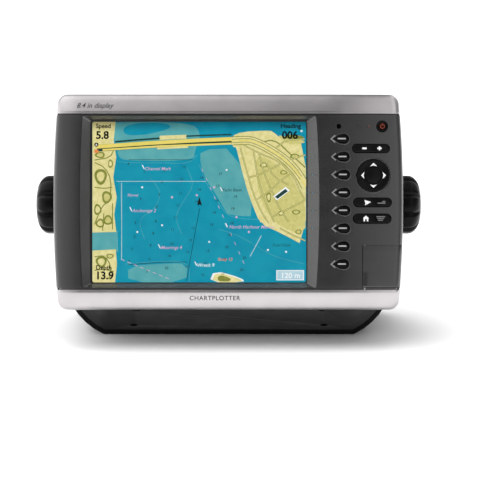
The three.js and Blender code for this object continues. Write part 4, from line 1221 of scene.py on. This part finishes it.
for x, z in ((-2, 5.6), (30, -12), (12, 12), (-22, 4), (40, -24)):
    patch("pink", 5, moved_by(circle_outline(0.9, 10), x, z))
patch("black", 6, [(-1.7, -2.9), (0, 4.5), (2.3, -2.9), (0.3, -1.8)])
line("black", 5, [(0.3, -4.9), (-2, -17), (-4.8, -32.3), (-7.6, -48), (-10.3, -63.8)], 0.4)

# %% [markdown]
# ## Figures in the corners
#
# The corners show speed, heading and depth in black, and a pale box holds the chart's scale.

# %% Corner figures
NAME, FIGURE = (5, 0.13), (8.6, 0.28)
for words, x, z, kind in (("Speed", -83.4, 59.8, NAME), ("5.8", -83.4, 51.2, FIGURE), ("Heading", 65.4, 59.8, NAME),
                          ("006", 66.6, 51.2, FIGURE), ("Depth", -83.4, -54.4, NAME), ("13.9", -83.8, -62, FIGURE)):
    label("black", 6, words, x, z, *kind)
patch("black", 5, moved_by(circle_outline(1.7, 14), -83, 46.4))
patch("orange", 5, moved_by(rectangle(-1.6, 1.6, -1.3, 1.3), -83, 41))
patch("white", 6, moved_by([(0, 0.9), (0.9, -0.7), (-0.9, -0.7)], -83, 46.4))
patch("white", 5, rectangle(62.1, 84.4, -63, -54.8))
patch("pale", 6, rectangle(62.9, 83.6, -62.3, -55.5))
label("white", 7, "120 m", 65.6, -61.2, 6.2, 0.12)
patch("white", 6, moved_by(circle_outline(0.9, 10), 82.4, 57.4))

# %% [markdown]
# ## The panel and its layers
#
# The panel itself is a thin box with a softened rim. Its front, the sea, lies under every other layer.

# %% Panel
PANEL_HALF_X, PANEL_HALF_Z = 96, 72
panel = block((SCREEN_X - PANEL_HALF_X, SCREEN_X + PANEL_HALF_X), (GLASS_FRONT, panel_high.y),
              (-PANEL_HALF_Z, PANEL_HALF_Z))
settle(as_object(soften_rims(panel, 0.3), "display_panel"), FACE, "head", CHART["sea"], "screen", "lcd_panel")
for (colour, level), bm in sorted(layers.items()):
    bm.normal_update()
    settle(as_object(bm, f"chart_{colour}_{level}"), FACE, "head", CHART[colour], "screen")

# %% [markdown]
# ## Words on the trims
#
# The lower trim carries the sort of instrument, and the upper one its screen size, both in dark print.
# The text becomes a mesh first, and is then laid on the trim's curved surface.

# %% Trim print


def on_trim(name, text, x, z, size, slant=0.0, spread=1.0):
    words = bpy.data.curves.new("words", "FONT")
    words.body, words.size, words.shear, words.extrude = text, size, slant, 0.02
    words.align_x, words.space_character = "CENTER", spread
    words.offset = 0.012 * size
    mesh = mesh_of(words, "words")
    mesh.transform(Matrix.Translation((x, FRONT - 0.04, z)) @ STAND)
    for v in mesh.vertices:
        v.co.y += face_drop(v.co.x, v.co.z)
    made = bpy.data.objects.new(name, mesh)
    bpy.context.scene.collection.objects.link(made)
    return settle(made, FACE, "head", ink["dark"], "silver_trim")


on_trim("lower_words", "CHARTPLOTTER", SCREEN_X + 12.6, -78.7, 5, spread=1.12)
on_trim("upper_words", "8.4 in display", -107, 75.4, 5.6, slant=0.3)

# %% [markdown]
# ## Clamp knobs
#
# Each knob is a deep black cap with nine finger grooves. Its profile is spun round the tilt axis. The
# shoulder is a quarter of an ellipse, and the grooves are pressed in by moving the barrel's points.

# %% Knobs
KNOB_RADIUS, HUB_RADIUS = 24.25, 12
GROOVES, GROOVE_DEPTH, GROOVE_RUN = 9, 2, 9
ROUNDING, ROUNDING_LENGTH = 15, 10


def knob(side):
    low, high = local_box(f"knob_{side}", AXIS)
    inner, outer = (low.x, high.x) if side == "right" else (high.x, low.x)
    sign = 1 if side == "right" else -1
    length = abs(outer - inner)
    bore = [(0, 12), (4.4, 12), (4.4, 1), (4.4, 0)]
    barrel = [(19.2, 0), (21.6, 0.6), (23.2, 2.2), (24, 4.4), (KNOB_RADIUS, 7)]
    angles = [math.pi / 20 * i for i in range(11)]
    shoulder = [(KNOB_RADIUS - ROUNDING + ROUNDING * math.cos(a),
                 length - ROUNDING_LENGTH + ROUNDING_LENGTH * math.sin(a)) for a in angles]
    cap = [(4.6, length), (3.8, length - 0.5), (0, length - 0.5)]
    points = [(inner + sign * along, radius, 0) for radius, along in bore + barrel + shoulder + cap]
    bm = spin_round((1, 0, 0), points, 144)
    for v in bm.verts:
        radius = math.hypot(v.co.y, v.co.z)
        if radius > HUB_RADIUS:
            turn = math.atan2(v.co.z, v.co.y)
            depth = max(0, math.cos(GROOVES * turn)) ** 3 * GROOVE_DEPTH * min(1, (radius - HUB_RADIUS) / GROOVE_RUN)
            v.co.y *= 1 - depth / radius
            v.co.z *= 1 - depth / radius
    bmesh.ops.recalc_face_normals(bm, faces=bm.faces)
    name = f"knob_{side}"
    return settle(as_object(bm, f"clamp_{name}"), AXIS, name, black_gloss, "knob_plastic", name)


for side in ("left", "right"):
    print("knob:", knob(side).name)

# %% [markdown]
# ## Softened copies of machined pieces
#
# Many pieces already have the right form in the model, but every edge there is perfectly sharp. Real
# castings and turnings have small radii. The tool copies such a mesh, merges its loose triangles,
# dissolves the flat ones into whole faces and bevels the sharp edges.

# %% Softened copies


SHARPEST_KEPT = 35


def softened(node, name, width, body, material, slot, segments=2):
    """A copy of a model piece whose edges above SHARPEST_KEPT degrees are rounded."""
    bm = bmesh.new()
    bm.from_mesh(nodes[node].data)
    bmesh.ops.transform(bm, matrix=FACE.inverted(), verts=bm.verts)
    bmesh.ops.remove_doubles(bm, verts=bm.verts, dist=0.002)
    bmesh.ops.dissolve_limit(bm, angle_limit=math.radians(1), verts=bm.verts, edges=bm.edges)
    soften_rims(bm, width, segments, SHARPEST_KEPT)
    return settle(as_object(bm, name), FACE, body, material, slot, node)


softened("mount_bracket", "bail_bracket", 1.1, "bracket", powder, "black_powder_coat", 3)
softened("rear_case", "case_casting", 0.7, "head", powder, "black_powder_coat")
softened("heat_sink", "fin_casting", 0.5, "head", powder, "black_powder_coat")
for i in range(1, 5):
    softened(f"housing_screw_{i}", f"case_screw_{i}", 0.3, "head", steel, "steel")
for name in ("power_socket", "network_socket_1", "network_socket_2", "transducer_socket"):
    softened(name, f"{name}_shell", 0.4, "head", moulded, "moulded_black")
softened("antenna_socket", "antenna_socket_shell", 0.2, "head", brass, "moulded_black")
softened("pressure_vent", "pressure_vent_cap", 0.4, "head", moulded, "moulded_black")

# %% [markdown]
# ## Finishes for the pieces that stay
#
# Inside the head and at the clamps, the model's own pieces are already right. They only need their
# finishes, which go by the piece's material in the record.

# %% Finishes of the model's own pieces
BY_SLOT = {"steel": steel, "bare_aluminium": aluminium, "brass": brass, "seal_rubber": seal_rubber,
           "circuit_board": solder_mask, "flat_cable": amber_film, "moulded_black": moulded,
           "window_glass": window_glass, "black_powder_coat": powder}
shown = 0
for part in frame["record"]["subparts"]:
    node = nodes[part["node"]]
    if not node.hide_render:
        node.data.materials.clear()
        node.data.materials.append(BY_SLOT[part["material_slot"]])
        shown += 1
print("model pieces shown with new finishes:", shown)
